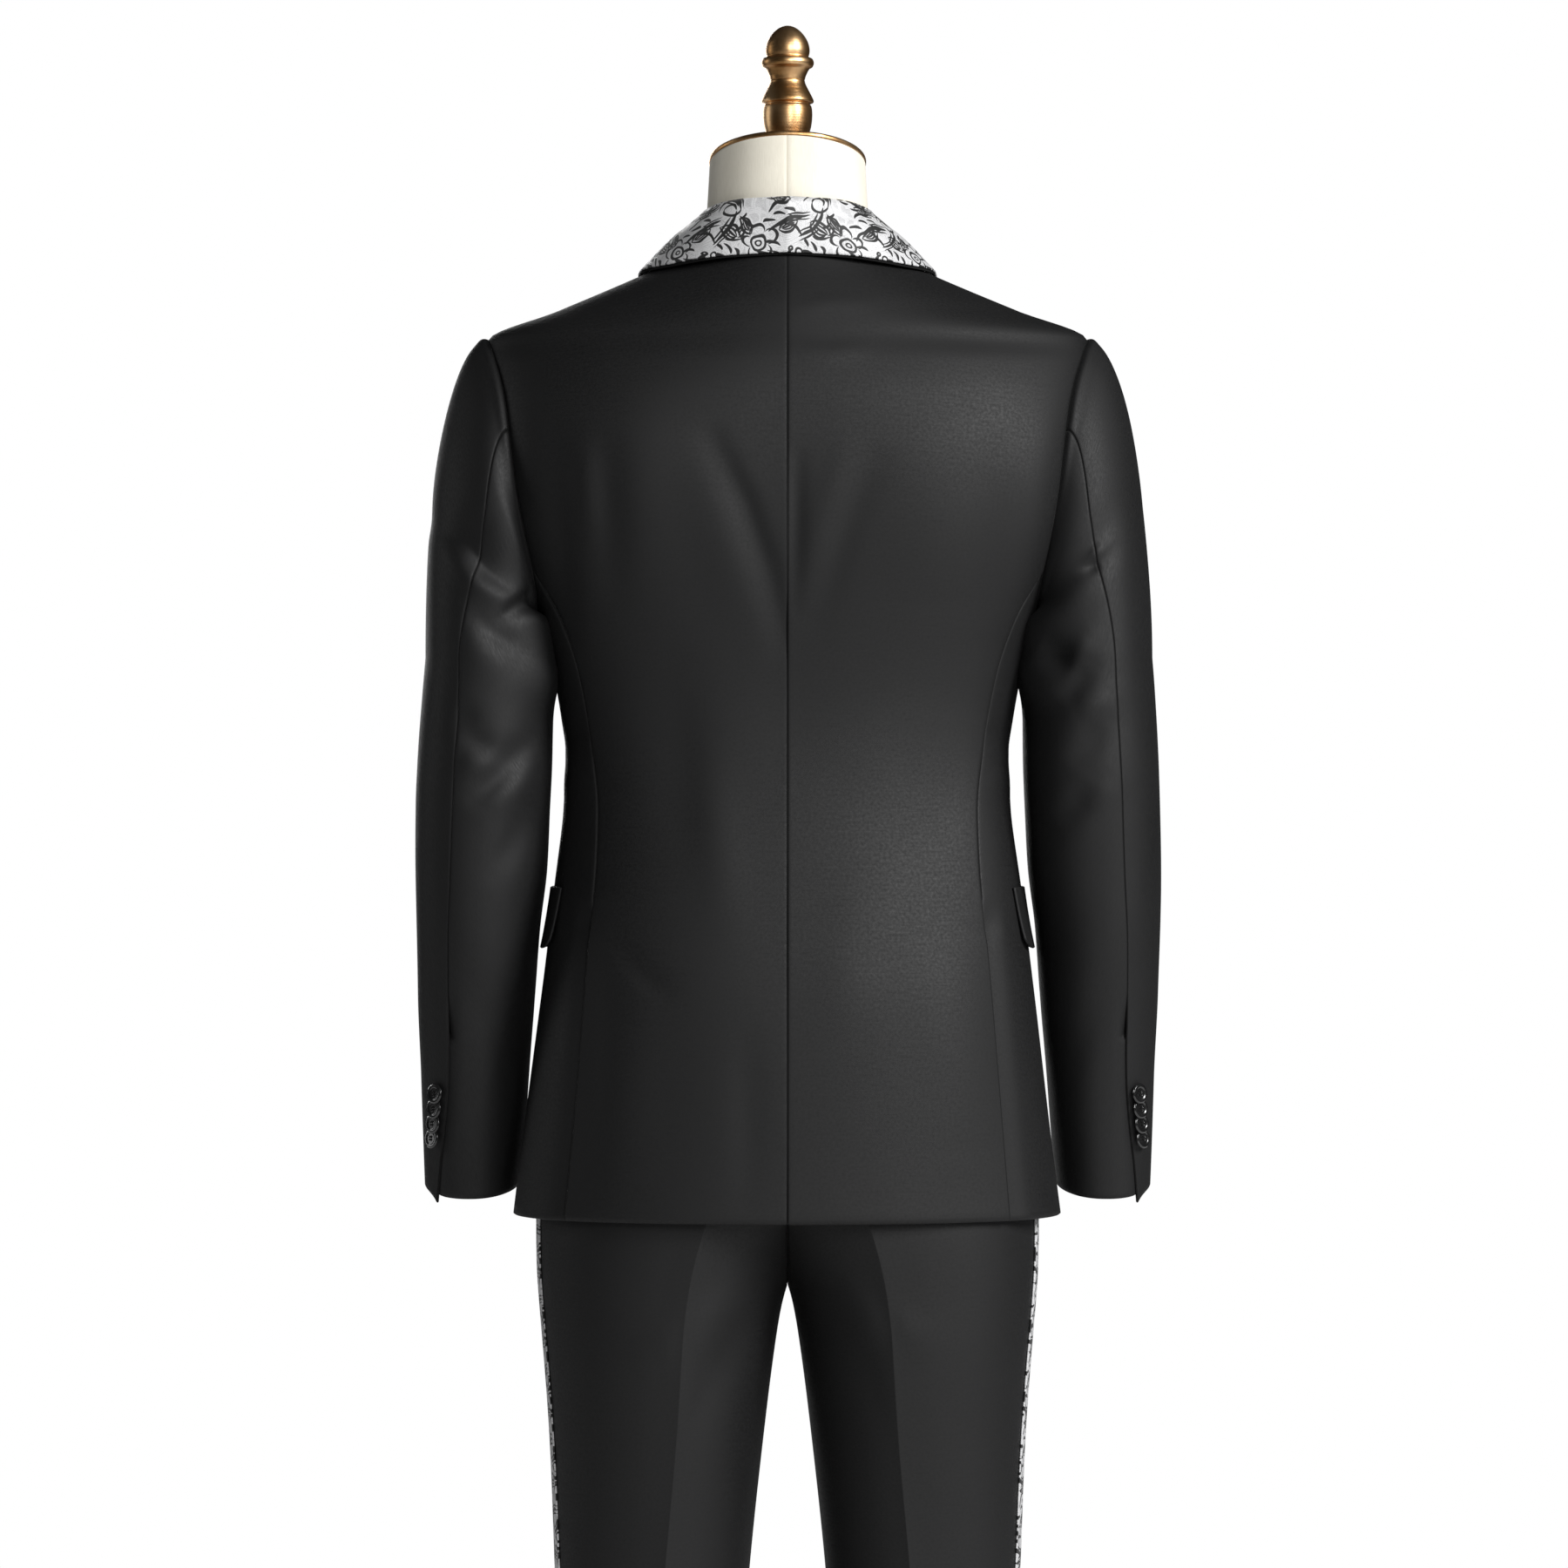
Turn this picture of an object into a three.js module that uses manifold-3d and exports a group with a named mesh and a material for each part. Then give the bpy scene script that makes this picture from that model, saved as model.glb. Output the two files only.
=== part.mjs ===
// A tuxedo, jacket and trousers, on a limbless dress form with a round base.
// Millimetres, +Z up. The wearer's left is +X and the garment's front faces -Y.
// Every piece of cloth is a thin wall laid along a named surface, and the right side mirrors the left.

import * as THREE from 'three';
import { mergeVertices } from 'three/addons/utils/BufferGeometryUtils.js';
import Module from 'manifold-3d';

const wasm = await Module();
wasm.setup();

// Driving dimensions

const WOOL = 2;
const BROCADE = 1.6;
const FELT = 1;
const SEAM = 0.3;
const HALF_SEAM = SEAM / 2;

const JACKET_HEM = 849;
const SHOULDER = 1499;
const NECKLINE = 1560;
const SIDE_SEAM_TOP = 1326;
const ARMHOLE = { top: SHOULDER, bottom: 1288, reach: 66, upperPower: 1.5, lowerPower: 0.8 };
const VENT = { top: 1062, fade: 24, open: 14, underlap: 30, tuck: 2.5, soft: 22 };

const SLEEVE = { gap: 0.5, start: 1262, hem: 868, hemTilt: 10, radius: 55, roundness: 2 / 2.2 };
const CUFF_VENT = { top: 986, underlap: 18, tuck: 3.2, soft: 3, corner: 6, ease: 0.1 };
const SLEEVE_HEAD = { out: 16, crown: 10, tuck: 18, round: 9, rise: 3, drop: 3.5, hang: 0.55 };
const CUFF_BUTTON = { radius: 7.5, thickness: 2.2, pitch: 11.4, first: 945, count: 4, tilt: 14, inset: 12 };
const UNDER_FRONT = { flat: 24, free: 60 };
const FRONT_BUTTON = { radius: 10, thickness: 4, z: 1172, clear: 0.5 };
const FLAP = { top: 1091, bottom: 1046, from: 76, to: 131, flare: 2, clear: 0.8, slant: 1.2 };

const WAIST = { top: 1050, seam: 1014 };
const CROTCH = 794;
const TROUSER_HEM = 27;
const STRIPE = { width: 28, behind: 12, wall: 1.2, clear: 0.4, columns: 3 };

const NECK_TILT = 15.5;
const CAP = { radius: 58.7, thickness: 4.5, lip: 1.2, z: 1632 };
const FORM_BOTTOM = 885;
const NECK_BEND = 1580;
const NECK_TOP = CAP.z - CAP.thickness / 2 - SEAM;
const POLE = { radius: 11, x: 100 };
const BASE = { radius: 220, thickness: 10, edge: 3 };

// Ring tables: half width, depth behind and in front of the middle, and the corner power at each height

const BODY = [
  { z: JACKET_HEM, half: 204, back: 126, front: 118, power: 2.3 },
  { z: 945, half: 192, back: 125, front: 118, power: 2.3 },
  { z: 1013, half: 183.5, back: 122, front: 116, power: 2.3 },
  { z: 1048, half: 179, back: 117, front: 114, power: 2.3 },
  { z: 1098, half: 173.5, back: 104, front: 112, power: 2.35 },
  { z: 1140, half: 167, back: 93, front: 110, power: 2.4 },
  { z: 1181, half: 164, back: 88, front: 110, power: 2.45 },
  { z: 1220, half: 168, back: 88.5, front: 112, power: 2.55 },
  { z: 1255, half: 174.5, back: 94, front: 115, power: 2.65 },
  { z: 1290, half: 184, back: 101, front: 118, power: 2.8 },
  { z: 1330, half: 199, back: 110, front: 120, power: 2.95 },
  { z: 1370, half: 211, back: 116, front: 120, power: 3 },
  { z: 1410, half: 218, back: 118, front: 118, power: 2.9 },
  { z: 1450, half: 223, back: 114, front: 109, power: 2.4 },
  { z: 1480, half: 224.5, back: 106, front: 97, power: 2 },
  { z: 1499, half: 223, back: 98, front: 86, power: 1.75 },
  { z: 1520, half: 173, back: 88, front: 74, power: 1.8 },
  { z: 1547, half: 109, back: 70, front: 56, power: 1.9 },
  { z: 1560, half: 80, back: 62, front: 48, power: 2 },
];

const FORM = [
  { z: FORM_BOTTOM, half: 128, back: 72, front: 64, power: 2.1 },
  { z: 905, half: 148, back: 92, front: 80, power: 2.1 },
  { z: 960, half: 162, back: 99, front: 90, power: 2.2 },
  { z: 1014, half: 158, back: 93, front: 92, power: 2.25 },
  { z: 1050, half: 153.8, back: 88, front: 91, power: 2.25 },
  { z: 1100, half: 147, back: 80, front: 92, power: 2.3 },
  { z: 1181, half: 142, back: 74, front: 90, power: 2.3 },
  { z: 1260, half: 152, back: 84, front: 98, power: 2.4 },
  { z: 1330, half: 176, back: 98, front: 106, power: 2.6 },
  { z: 1390, half: 192, back: 106, front: 106, power: 2.7 },
  { z: 1440, half: 204, back: 105, front: 99, power: 2.4 },
  { z: 1475, half: 209, back: 98, front: 88, power: 2 },
];

const NECK = [
  { z: 1560, half: 72, back: 57.5, front: 40, power: 2 },
  { z: 1575, half: 62, back: 57, front: 45, power: 2 },
  { z: 1592, half: 59.2, back: 57, front: 52, power: 2 },
  { z: 1632, half: 58, back: 58, front: 58, power: 2 },
];

const SLEEVE_RINGS = [
  { z: 868, outer: 274, inner: 203, middle: -56, depth: 52 },
  { z: 950, outer: 276, inner: 195, middle: -39, depth: 54 },
  { z: 1013, outer: 278, inner: 190, middle: -25, depth: 57 },
  { z: 1060, outer: 278, inner: 186, middle: -14, depth: 60 },
  { z: 1106, outer: 278, inner: 180, middle: -5, depth: 62 },
  { z: 1149, outer: 277.5, inner: 177.5, middle: 1, depth: 63.5 },
  { z: 1194, outer: 276, inner: 175.5, middle: 4, depth: 65 },
  { z: 1235, outer: 273.5, inner: 175, middle: 4, depth: 67 },
  { z: 1262, outer: 271.5, inner: 178.6, middle: 3, depth: 69 },
];

// Soft folds of the sleeve, as its turn from the shoulder line and its height
const SLEEVE_FOLDS = [
  { turn: 118, z: 1322, slope: -0.55, width: 13, reach: 26, height: 4 },
  { turn: 112, z: 1296, slope: -0.65, width: 12, reach: 30, height: -6 },
  { turn: 116, z: 1262, slope: -0.7, width: 18, reach: 30, height: 4 },
  { turn: 106, z: 1226, slope: -0.55, width: 15, reach: 30, height: -4 },
  { turn: 120, z: 1112, slope: 0.3, width: 24, reach: 34, height: -3 },
];

const LEG = [
  { z: TROUSER_HEM, middle: 108, outer: 50, inner: 50, back: 64, front: 60, shift: 6 },
  { z: 300, middle: 105, outer: 57, inner: 57, back: 68, front: 64, shift: 2 },
  { z: 500, middle: 101.5, outer: 66, inner: 66, back: 72, front: 69, shift: 0 },
  { z: 583, middle: 100, outer: 71.5, inner: 71.5, back: 78, front: 72, shift: 0 },
  { z: 688, middle: 96.5, outer: 79.5, inner: 79.5, back: 90, front: 80, shift: 0 },
  { z: 757, middle: 94.5, outer: 86.5, inner: 86.5, back: 98, front: 86, shift: 0 },
  { z: CROTCH, middle: 91, outer: 93, inner: 90.7, back: 101, front: 90, shift: 0 },
  { z: 849, middle: 78, outer: 107.5, inner: 110, back: 106, front: 96, shift: 0 },
  { z: 900, middle: 48, outer: 132, inner: 150, back: 109, front: 99, shift: 0 },
  { z: 950, middle: 16, outer: 158, inner: 200, back: 110, front: 100, shift: 0 },
  { z: 1014, middle: 0, outer: 162, inner: 220, back: 99, front: 98, shift: 0 },
  { z: 1050, middle: 0, outer: 156.5, inner: 220, back: 92.5, front: 96.5, shift: 0 },
];
const LEG_POWER = 2.25;
const LEG_RADIUS = 80;
const CREASE = { height: 6, width: 13, fade: 850, gone: 940, inward: 10, straight: 300, shifted: 760 };

// Seams and edges: a side seam as its distance from the middle, an opening edge as its own x

const SIDE_BACK_SEAM = [
  { z: JACKET_HEM, x: 163 },
  { z: 986, x: 151.5 },
  { z: 1049, x: 146 },
  { z: 1112, x: 140.5 },
  { z: 1149, x: 139.5 },
  { z: 1203, x: 145 },
  { z: 1248, x: 153 },
  { z: 1286, x: 166 },
];
const SIDE_FRONT_SEAM = [
  { z: JACKET_HEM, angle: 116 },
  { z: 1048, angle: 117 },
  { z: 1181, angle: 118 },
  { z: 1250, angle: 115 },
];
const FRONT_EDGE = [
  { z: JACKET_HEM, x: 104 },
  { z: 853, x: 86 },
  { z: 862, x: 68 },
  { z: 880, x: 50 },
  { z: 912, x: 34 },
  { z: 960, x: 18 },
  { z: 1030, x: 2 },
  { z: 1110, x: -12 },
  { z: 1160, x: -17 },
  { z: 1180, x: -15 },
  { z: 1250, x: 6 },
  { z: 1350, x: 31 },
  { z: 1450, x: 52 },
  { z: 1499, x: 60 },
  { z: 1540, x: 68 },
  { z: 1560, x: 75 },
];

// The lapel's two edges, from the button (step 0) to the gorge (step 1)
const LAPEL = [
  { step: 0, rollX: 2, rollZ: 1236, edgeX: 12, edgeZ: 1240, lift: 0.5 },
  { step: 0.12, rollX: 7, rollZ: 1254, edgeX: 40, edgeZ: 1258, lift: 1.5 },
  { step: 0.34, rollX: 17, rollZ: 1293, edgeX: 76, edgeZ: 1298, lift: 2.5 },
  { step: 0.6, rollX: 37, rollZ: 1380, edgeX: 114, edgeZ: 1384, lift: 3 },
  { step: 0.82, rollX: 54, rollZ: 1466, edgeX: 118, edgeZ: 1452, lift: 4 },
  { step: 1, rollX: 62, rollZ: 1545, edgeX: 108, edgeZ: 1512, lift: 9 },
];

// The collar's roll line and outer edge, from the centre back (step 0) to the gorge (step 1)
const COLLAR = [
  { step: 0, rollX: 0, rollY: 63.8, rollZ: 1599, edgeX: 0, edgeY: 69, edgeZ: 1559 },
  { step: 0.25, rollX: 33, rollY: 54.5, rollZ: 1598.2, edgeX: 46, edgeY: 64, edgeZ: 1557 },
  { step: 0.5, rollX: 56, rollY: 31, rollZ: 1596, edgeX: 87, edgeY: 42, edgeZ: 1553 },
  { step: 0.72, rollX: 63.6, rollY: 0, rollZ: 1593, edgeX: 110, edgeY: 3, edgeZ: 1551 },
  { step: 0.87, rollX: 64, rollY: -25, rollZ: 1577, edgeX: 113, edgeY: -33, edgeZ: 1541 },
];
const COLLAR_FOLD = 2.2;
const COLLAR_CLEAR = 4.2;
const STAND = { least: 16, inset: 0.6 };
const FALL_CROWN = 1.5;
const UNDER_COLLAR = { show: 1.6, reach: 0.8 };

// Profiles that are turned round an axis, as radius and height

const FINIAL = [
  { r: 15, z: 1622 },
  { r: 16.6, z: 1655 },
  { r: 18.6, z: 1667 },
  { r: 16.9, z: 1673.5 },
  { r: 19.5, z: 1677 },
  { r: 14.2, z: 1686 },
  { r: 12.7, z: 1692.5 },
  { r: 17, z: 1702 },
  { r: 19.8, z: 1706 },
  { r: 15.3, z: 1710.5 },
  { r: 16.5, z: 1716 },
  { r: 13, z: 1727 },
  { r: 7.6, z: 1732 },
];
const FINIAL_TOP = 1734;
const FOOT_CUT = { width: 120, height: 80 };

// Rows and columns of the walls

const HIND_SEAM_TOP = 1428;
const ARMHOLE_ROWS = [SIDE_SEAM_TOP, 1355, 1390, HIND_SEAM_TOP, 1460, 1485, SHOULDER];
const SIDE_BEND = 1175;
const VENT_ROWS = [VENT.top - VENT.open, VENT.top, VENT.top + VENT.fade];
const LOWER_ROWS = [JACKET_HEM, 905, 960, 1015, ...VENT_ROWS, 1130, SIDE_BEND, 1215, 1250, 1280, 1308];
const NECK_ROWS = [1512, 1528, 1545, NECKLINE];
const FRONT_HEM_ROWS = [JACKET_HEM, 853, 862, 878];
const BODY_ROWS = [...LOWER_ROWS, ...ARMHOLE_ROWS, ...NECK_ROWS];
const FRONT_ROWS = [...FRONT_HEM_ROWS, ...LOWER_ROWS.slice(1), ...ARMHOLE_ROWS, ...NECK_ROWS];
const SIDE_ROWS = [...LOWER_ROWS, SIDE_SEAM_TOP];
const BACK_COLUMNS = 6;
const FRONT_COLUMNS = 6;
const FRONT_SPREAD = 0.85;
const SHUT_COLUMNS = [HALF_SEAM, 7, 22];
const OPEN_COLUMNS = [-VENT.underlap, 0, VENT.soft];
const PLAIN_COLUMNS = 4;
const SIDE_COLUMNS = SHUT_COLUMNS.length - 1 + PLAIN_COLUMNS;
const SLEEVE_ROWS = [0, 0.12, 0.28, 0.46, 0.64, 0.82, 1, 1.07, 1.15, 1.28, 1.44, 1.6, 1.69, 1.72, 1.86, 2];
const LEG_ROWS = [TROUSER_HEM, 200, 400, 583, 690, 757, CROTCH, 808, 849, 900, 950, WAIST.seam - SEAM];
const LEG_COLUMNS = [0, 0.16, 0.32, 0.46, 0.56, 0.66, 0.76, 0.88, 1];

// Colours and finishes

const MATERIALS = {
  wool: new THREE.MeshStandardMaterial({ color: 0x222326, roughness: 0.72, metalness: 0 }),
  felt: new THREE.MeshStandardMaterial({ color: 0x101012, roughness: 0.9, metalness: 0 }),
  brocade: new THREE.MeshStandardMaterial({ color: 0x9c9da0, roughness: 0.45, metalness: 0.1 }),
  button: new THREE.MeshStandardMaterial({ color: 0x0b0b0c, roughness: 0.22, metalness: 0 }),
  linen: new THREE.MeshStandardMaterial({ color: 0xe8e2d3, roughness: 0.85, metalness: 0 }),
  brass: new THREE.MeshStandardMaterial({ color: 0x8f6a3c, roughness: 0.35, metalness: 1 }),
};

// Small mathematics

const radians = THREE.MathUtils.degToRad;
const degrees = THREE.MathUtils.radToDeg;
const mix = THREE.MathUtils.lerp;
const smooth = (at, from, to) => {
  const t = THREE.MathUtils.clamp((at - from) / (to - from), 0, 1);
  return t * t * (3 - 2 * t);
};
const signedPower = (value, power) => Math.sign(value) * Math.abs(value) ** power;

function slopeAt(table, key, by, row) {
  const secant = (i) => (table[i + 1][key] - table[i][key]) / (table[i + 1][by] - table[i][by]);
  if (row === 0) return secant(0);
  if (row === table.length - 1) return secant(row - 1);
  const before = secant(row - 1);
  const after = secant(row);
  return before * after <= 0 ? 0 : (2 * before * after) / (before + after);
}

// Value of one column of a table, on a smooth curve through its rows that never overshoots them
function along(table, key, at, by = 'z') {
  const last = table.length - 1;
  if (at <= table[0][by]) return table[0][key] + slopeAt(table, key, by, 0) * (at - table[0][by]);
  if (at >= table[last][by]) return table[last][key] + slopeAt(table, key, by, last) * (at - table[last][by]);
  let row = 0;
  while (at > table[row + 1][by]) row += 1;
  const span = table[row + 1][by] - table[row][by];
  const t = (at - table[row][by]) / span;
  const rise = 3 * t * t - 2 * t * t * t;
  const leave = (t * t * t - 2 * t * t + t) * span * slopeAt(table, key, by, row);
  const arrive = (t * t * t - t * t) * span * slopeAt(table, key, by, row + 1);
  return mix(table[row][key], table[row + 1][key], rise) + leave + arrive;
}

// The half width of a ring at a distance y from its middle
function widthAt(ring, z, y) {
  const power = along(ring, 'power', z);
  const depth = along(ring, y >= 0 ? 'back' : 'front', z);
  const inside = Math.max(0, 1 - (Math.abs(y) / depth) ** power);
  return along(ring, 'half', z) * inside ** (1 / power);
}

// How far a ring reaches in front or behind at a distance x from its middle
function depthAt(ring, z, x, key) {
  const power = along(ring, 'power', z);
  const inside = Math.max(0, 1 - (Math.abs(x) / along(ring, 'half', z)) ** power);
  return along(ring, key, z) * inside ** (1 / power);
}

// A point of a ring, its angle turning from the back towards the left side
function ringPoint(ring, angle, z) {
  const power = along(ring, 'power', z);
  const turn = radians(angle);
  const across = Math.abs(Math.sin(turn)) / along(ring, 'half', z);
  const deep = Math.abs(Math.cos(turn)) / along(ring, Math.cos(turn) >= 0 ? 'back' : 'front', z);
  const radius = (across ** power + deep ** power) ** (-1 / power);
  return new THREE.Vector3(radius * Math.sin(turn), radius * Math.cos(turn), z);
}

// Outward normal of a surface point(u, v) with u turning from back to left and v rising
function normalAt(point, u, v, du, dv) {
  const alongU = point(u + du, v).sub(point(u - du, v));
  const alongV = point(u, v + dv).sub(point(u, v - dv));
  return alongV.cross(alongU).normalize();
}

// Solids from grids

function solidFrom(positions, triangles) {
  let volume = 0;
  for (let i = 0; i < triangles.length; i += 3) {
    const [a, b, c] = [0, 1, 2].map((k) => positions[triangles[i + k]]);
    volume += a.dot(b.clone().cross(c));
  }
  if (volume < 0) {
    for (let i = 0; i < triangles.length; i += 3) {
      [triangles[i + 1], triangles[i + 2]] = [triangles[i + 2], triangles[i + 1]];
    }
  }
  const geometry = new THREE.BufferGeometry();
  const numbers = positions.flatMap((p) => [p.x, p.y, p.z]);
  geometry.setAttribute('position', new THREE.Float32BufferAttribute(numbers, 3));
  geometry.setIndex(triangles);
  geometry.computeVertexNormals();
  return geometry;
}

// A wall of cloth: sheet(row, column) gives a point of its face and the outward normal there
function wall(rows, columns, thickness, sheet) {
  const positions = [];
  for (let i = 0; i <= rows; i += 1) {
    for (let j = 0; j <= columns; j += 1) {
      const { point, normal } = sheet(i, j);
      positions.push(point, point.clone().addScaledVector(normal, -thickness));
    }
  }
  const at = (i, j, side) => (i * (columns + 1) + j) * 2 + side;
  const triangles = [];
  const quad = (a, b, c, d) => triangles.push(a, b, c, a, c, d);
  for (let i = 0; i < rows; i += 1) {
    for (let j = 0; j < columns; j += 1) {
      quad(at(i, j, 0), at(i, j + 1, 0), at(i + 1, j + 1, 0), at(i + 1, j, 0));
      quad(at(i, j, 1), at(i + 1, j, 1), at(i + 1, j + 1, 1), at(i, j + 1, 1));
    }
  }
  for (let j = 0; j < columns; j += 1) {
    quad(at(0, j, 1), at(0, j + 1, 1), at(0, j + 1, 0), at(0, j, 0));
    quad(at(rows, j, 0), at(rows, j + 1, 0), at(rows, j + 1, 1), at(rows, j, 1));
  }
  for (let i = 0; i < rows; i += 1) {
    quad(at(i, 0, 0), at(i + 1, 0, 0), at(i + 1, 0, 1), at(i, 0, 1));
    quad(at(i, columns, 1), at(i + 1, columns, 1), at(i + 1, columns, 0), at(i, columns, 0));
  }
  return solidFrom(positions, triangles);
}

// A closed skin through rings of points, with a flat fan over the first and the last ring
function skin(rings) {
  const around = rings[0].length;
  const positions = rings.flat();
  const triangles = [];
  for (let i = 0; i < rings.length - 1; i += 1) {
    for (let j = 0; j < around; j += 1) {
      const next = (j + 1) % around;
      const [a, b] = [i * around + j, i * around + next];
      triangles.push(a, b, b + around, a, b + around, a + around);
    }
  }
  const cap = (ring, flip) => {
    const middle = rings[ring].reduce((sum, p) => sum.add(p), new THREE.Vector3()).divideScalar(around);
    const centre = positions.push(middle) - 1;
    for (let j = 0; j < around; j += 1) {
      const [a, b] = [ring * around + j, ring * around + ((j + 1) % around)];
      triangles.push(centre, ...(flip ? [b, a] : [a, b]));
    }
  };
  cap(0, true);
  cap(rings.length - 1, false);
  return solidFrom(positions, triangles);
}

function mirrored(geometry) {
  const copy = geometry.clone().scale(-1, 1, 1);
  const index = copy.getIndex().array;
  for (let i = 0; i < index.length; i += 3) [index[i + 1], index[i + 2]] = [index[i + 2], index[i + 1]];
  copy.computeVertexNormals();
  return copy;
}

const tuxedo = new THREE.Group();
tuxedo.name = 'tuxedo_on_dress_form';

function addPiece(name, geometry, material) {
  const mesh = new THREE.Mesh(geometry, material);
  mesh.name = name;
  tuxedo.add(mesh);
  return mesh;
}

function addPair(name, geometry, material) {
  addPiece(`${name}_left`, geometry, material);
  addPiece(`${name}_right`, mirrored(geometry), material);
}

// Jacket body: the armhole and the seams that bound each panel

const armholeMiddle = (ARMHOLE.top + ARMHOLE.bottom) / 2;
const armholeRise = (ARMHOLE.top - ARMHOLE.bottom) / 2;

// The armhole turns from the shoulder (0) through the back (90) and the underarm (180) to the front
function armholePoint(turn) {
  const z = armholeMiddle + armholeRise * Math.cos(radians(turn));
  const power = z > armholeMiddle ? ARMHOLE.upperPower : ARMHOLE.lowerPower;
  const y = ARMHOLE.reach * signedPower(Math.sin(radians(turn)), power);
  return new THREE.Vector3(widthAt(BODY, z, y), y, z);
}
const angleOf = (point) => degrees(Math.atan2(point.x, point.y));
function armholeTurn(z) {
  return degrees(Math.acos(THREE.MathUtils.clamp((z - armholeMiddle) / armholeRise, -1, 1)));
}

const joinTurn = armholeTurn(SIDE_SEAM_TOP);
const sideBackSeam = [...SIDE_BACK_SEAM, { z: SIDE_SEAM_TOP, x: armholePoint(joinTurn).x }];
const foreTurn = 360 - joinTurn;
const sideFrontSeam = [...SIDE_FRONT_SEAM, { z: SIDE_SEAM_TOP, angle: angleOf(armholePoint(foreTurn)) }];

function sideBackAngle(z) {
  const x = along(sideBackSeam, 'x', z);
  return degrees(Math.atan2(x, depthAt(BODY, z, x, 'back')));
}
const sideFrontAngle = (z) => along(sideFrontSeam, 'angle', z);

function backPanelAngle(z) {
  if (z <= SIDE_SEAM_TOP) return sideBackAngle(z);
  return z < SHOULDER ? angleOf(armholePoint(armholeTurn(z))) : 90;
}
function frontPanelAngle(z) {
  if (z <= SIDE_SEAM_TOP) return sideFrontAngle(z);
  return z < SHOULDER ? angleOf(armholePoint(360 - armholeTurn(z))) : 90;
}
function frontEdgeAngle(z) {
  const x = along(FRONT_EDGE, 'x', z);
  return 180 - degrees(Math.atan2(x, depthAt(BODY, z, x, 'front')));
}

// Turn of the armhole's lower edge where the side panel's column has a given angle
function underarmTurn(angle) {
  let [low, high] = [joinTurn, foreTurn];
  for (let i = 0; i < 40; i += 1) {
    const middle = (low + high) / 2;
    if (angleOf(armholePoint(middle)) < angle) low = middle;
    else high = middle;
  }
  return low;
}

const bodyPoint = (angle, z) => ringPoint(BODY, angle, z);
const bodyNormal = (angle, z) => normalAt(bodyPoint, angle, z, 1, 2);

// Angle that a short length along the cloth takes at a place on the body
function angleFor(length, angle, z) {
  const { x, y } = bodyPoint(angle, z);
  return degrees(length / Math.hypot(x, y));
}

function bodySheet(angle, z, lift = 0) {
  const normal = bodyNormal(angle, z);
  return { point: bodyPoint(angle, z).addScaledVector(normal, lift), normal };
}

function backPanel() {
  return wall(BODY_ROWS.length - 1, BACK_COLUMNS, WOOL, (i, j) => {
    const z = BODY_ROWS[i];
    const from = angleFor(HALF_SEAM, 0, z);
    const edge = backPanelAngle(z);
    const to = edge - angleFor(HALF_SEAM, edge, z);
    return bodySheet(mix(from, to, j / BACK_COLUMNS), z);
  });
}

// The side panel tucks under the back panel below the top of the side vent
function sidePanel() {
  return wall(SIDE_ROWS.length - 1, SIDE_COLUMNS, WOOL, (i, j) => {
    const row = SIDE_ROWS[i];
    const tucked = 1 - smooth(row, VENT.top, VENT.top + VENT.fade);
    const open = 1 - smooth(row, VENT.top - VENT.open, VENT.top);
    const [back, front] = [sideBackAngle(row), sideFrontAngle(row)];
    const lengthAt = (column) => mix(SHUT_COLUMNS[column], OPEN_COLUMNS[column], open);
    const lastVent = back + angleFor(lengthAt(SHUT_COLUMNS.length - 1), back, row);
    const onVent = j < SHUT_COLUMNS.length;
    const length = onVent ? lengthAt(j) : VENT.soft;
    const end = front - angleFor(HALF_SEAM, front, row);
    const angle = onVent
      ? back + angleFor(length, back, row)
      : mix(lastVent, end, (j - SHUT_COLUMNS.length + 1) / PLAIN_COLUMNS);
    const top = armholePoint(underarmTurn(sideTopAngle(j))).z;
    const share = Math.max(0, row - SIDE_BEND) / (SIDE_SEAM_TOP - SIDE_BEND);
    const z = Math.min(row, SIDE_BEND) + share * (top - SIDE_BEND);
    const tuck = VENT.tuck * tucked * (1 - smooth(length, 0, VENT.soft));
    return bodySheet(angle, z, -tuck);
  });
}

function sideTopAngle(column) {
  const z = SIDE_SEAM_TOP;
  const [back, front] = [sideBackAngle(z), sideFrontAngle(z)];
  if (column < SHUT_COLUMNS.length) return back + angleFor(SHUT_COLUMNS[column], back, z);
  const lastVent = back + angleFor(SHUT_COLUMNS[SHUT_COLUMNS.length - 1], back, z);
  const share = (column - SHUT_COLUMNS.length + 1) / PLAIN_COLUMNS;
  return mix(lastVent, front - angleFor(HALF_SEAM, front, z), share);
}

// The right front lies under the left one where they overlap
function frontPanel(under) {
  return wall(FRONT_ROWS.length - 1, FRONT_COLUMNS, WOOL, (i, j) => {
    const z = FRONT_ROWS[i];
    const start = frontPanelAngle(z);
    const from = start + angleFor(HALF_SEAM, start, z);
    const angle = mix(from, frontEdgeAngle(z), (j / FRONT_COLUMNS) ** FRONT_SPREAD);
    const x = bodyPoint(angle, z).x;
    const pressed = under ? (WOOL + SEAM) * (1 - smooth(x, UNDER_FRONT.flat, UNDER_FRONT.free)) : 0;
    return bodySheet(angle, z, -pressed);
  });
}

function buildJacketBody() {
  addPair('jacket_back', backPanel(), MATERIALS.wool);
  addPair('jacket_side', sidePanel(), MATERIALS.wool);
  addPiece('jacket_front_left', frontPanel(false), MATERIALS.wool);
  addPiece('jacket_front_right', mirrored(frontPanel(true)), MATERIALS.wool);
}

// Sleeves: from the armhole's edge to a ring below it, then down rings to the cuff

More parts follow.
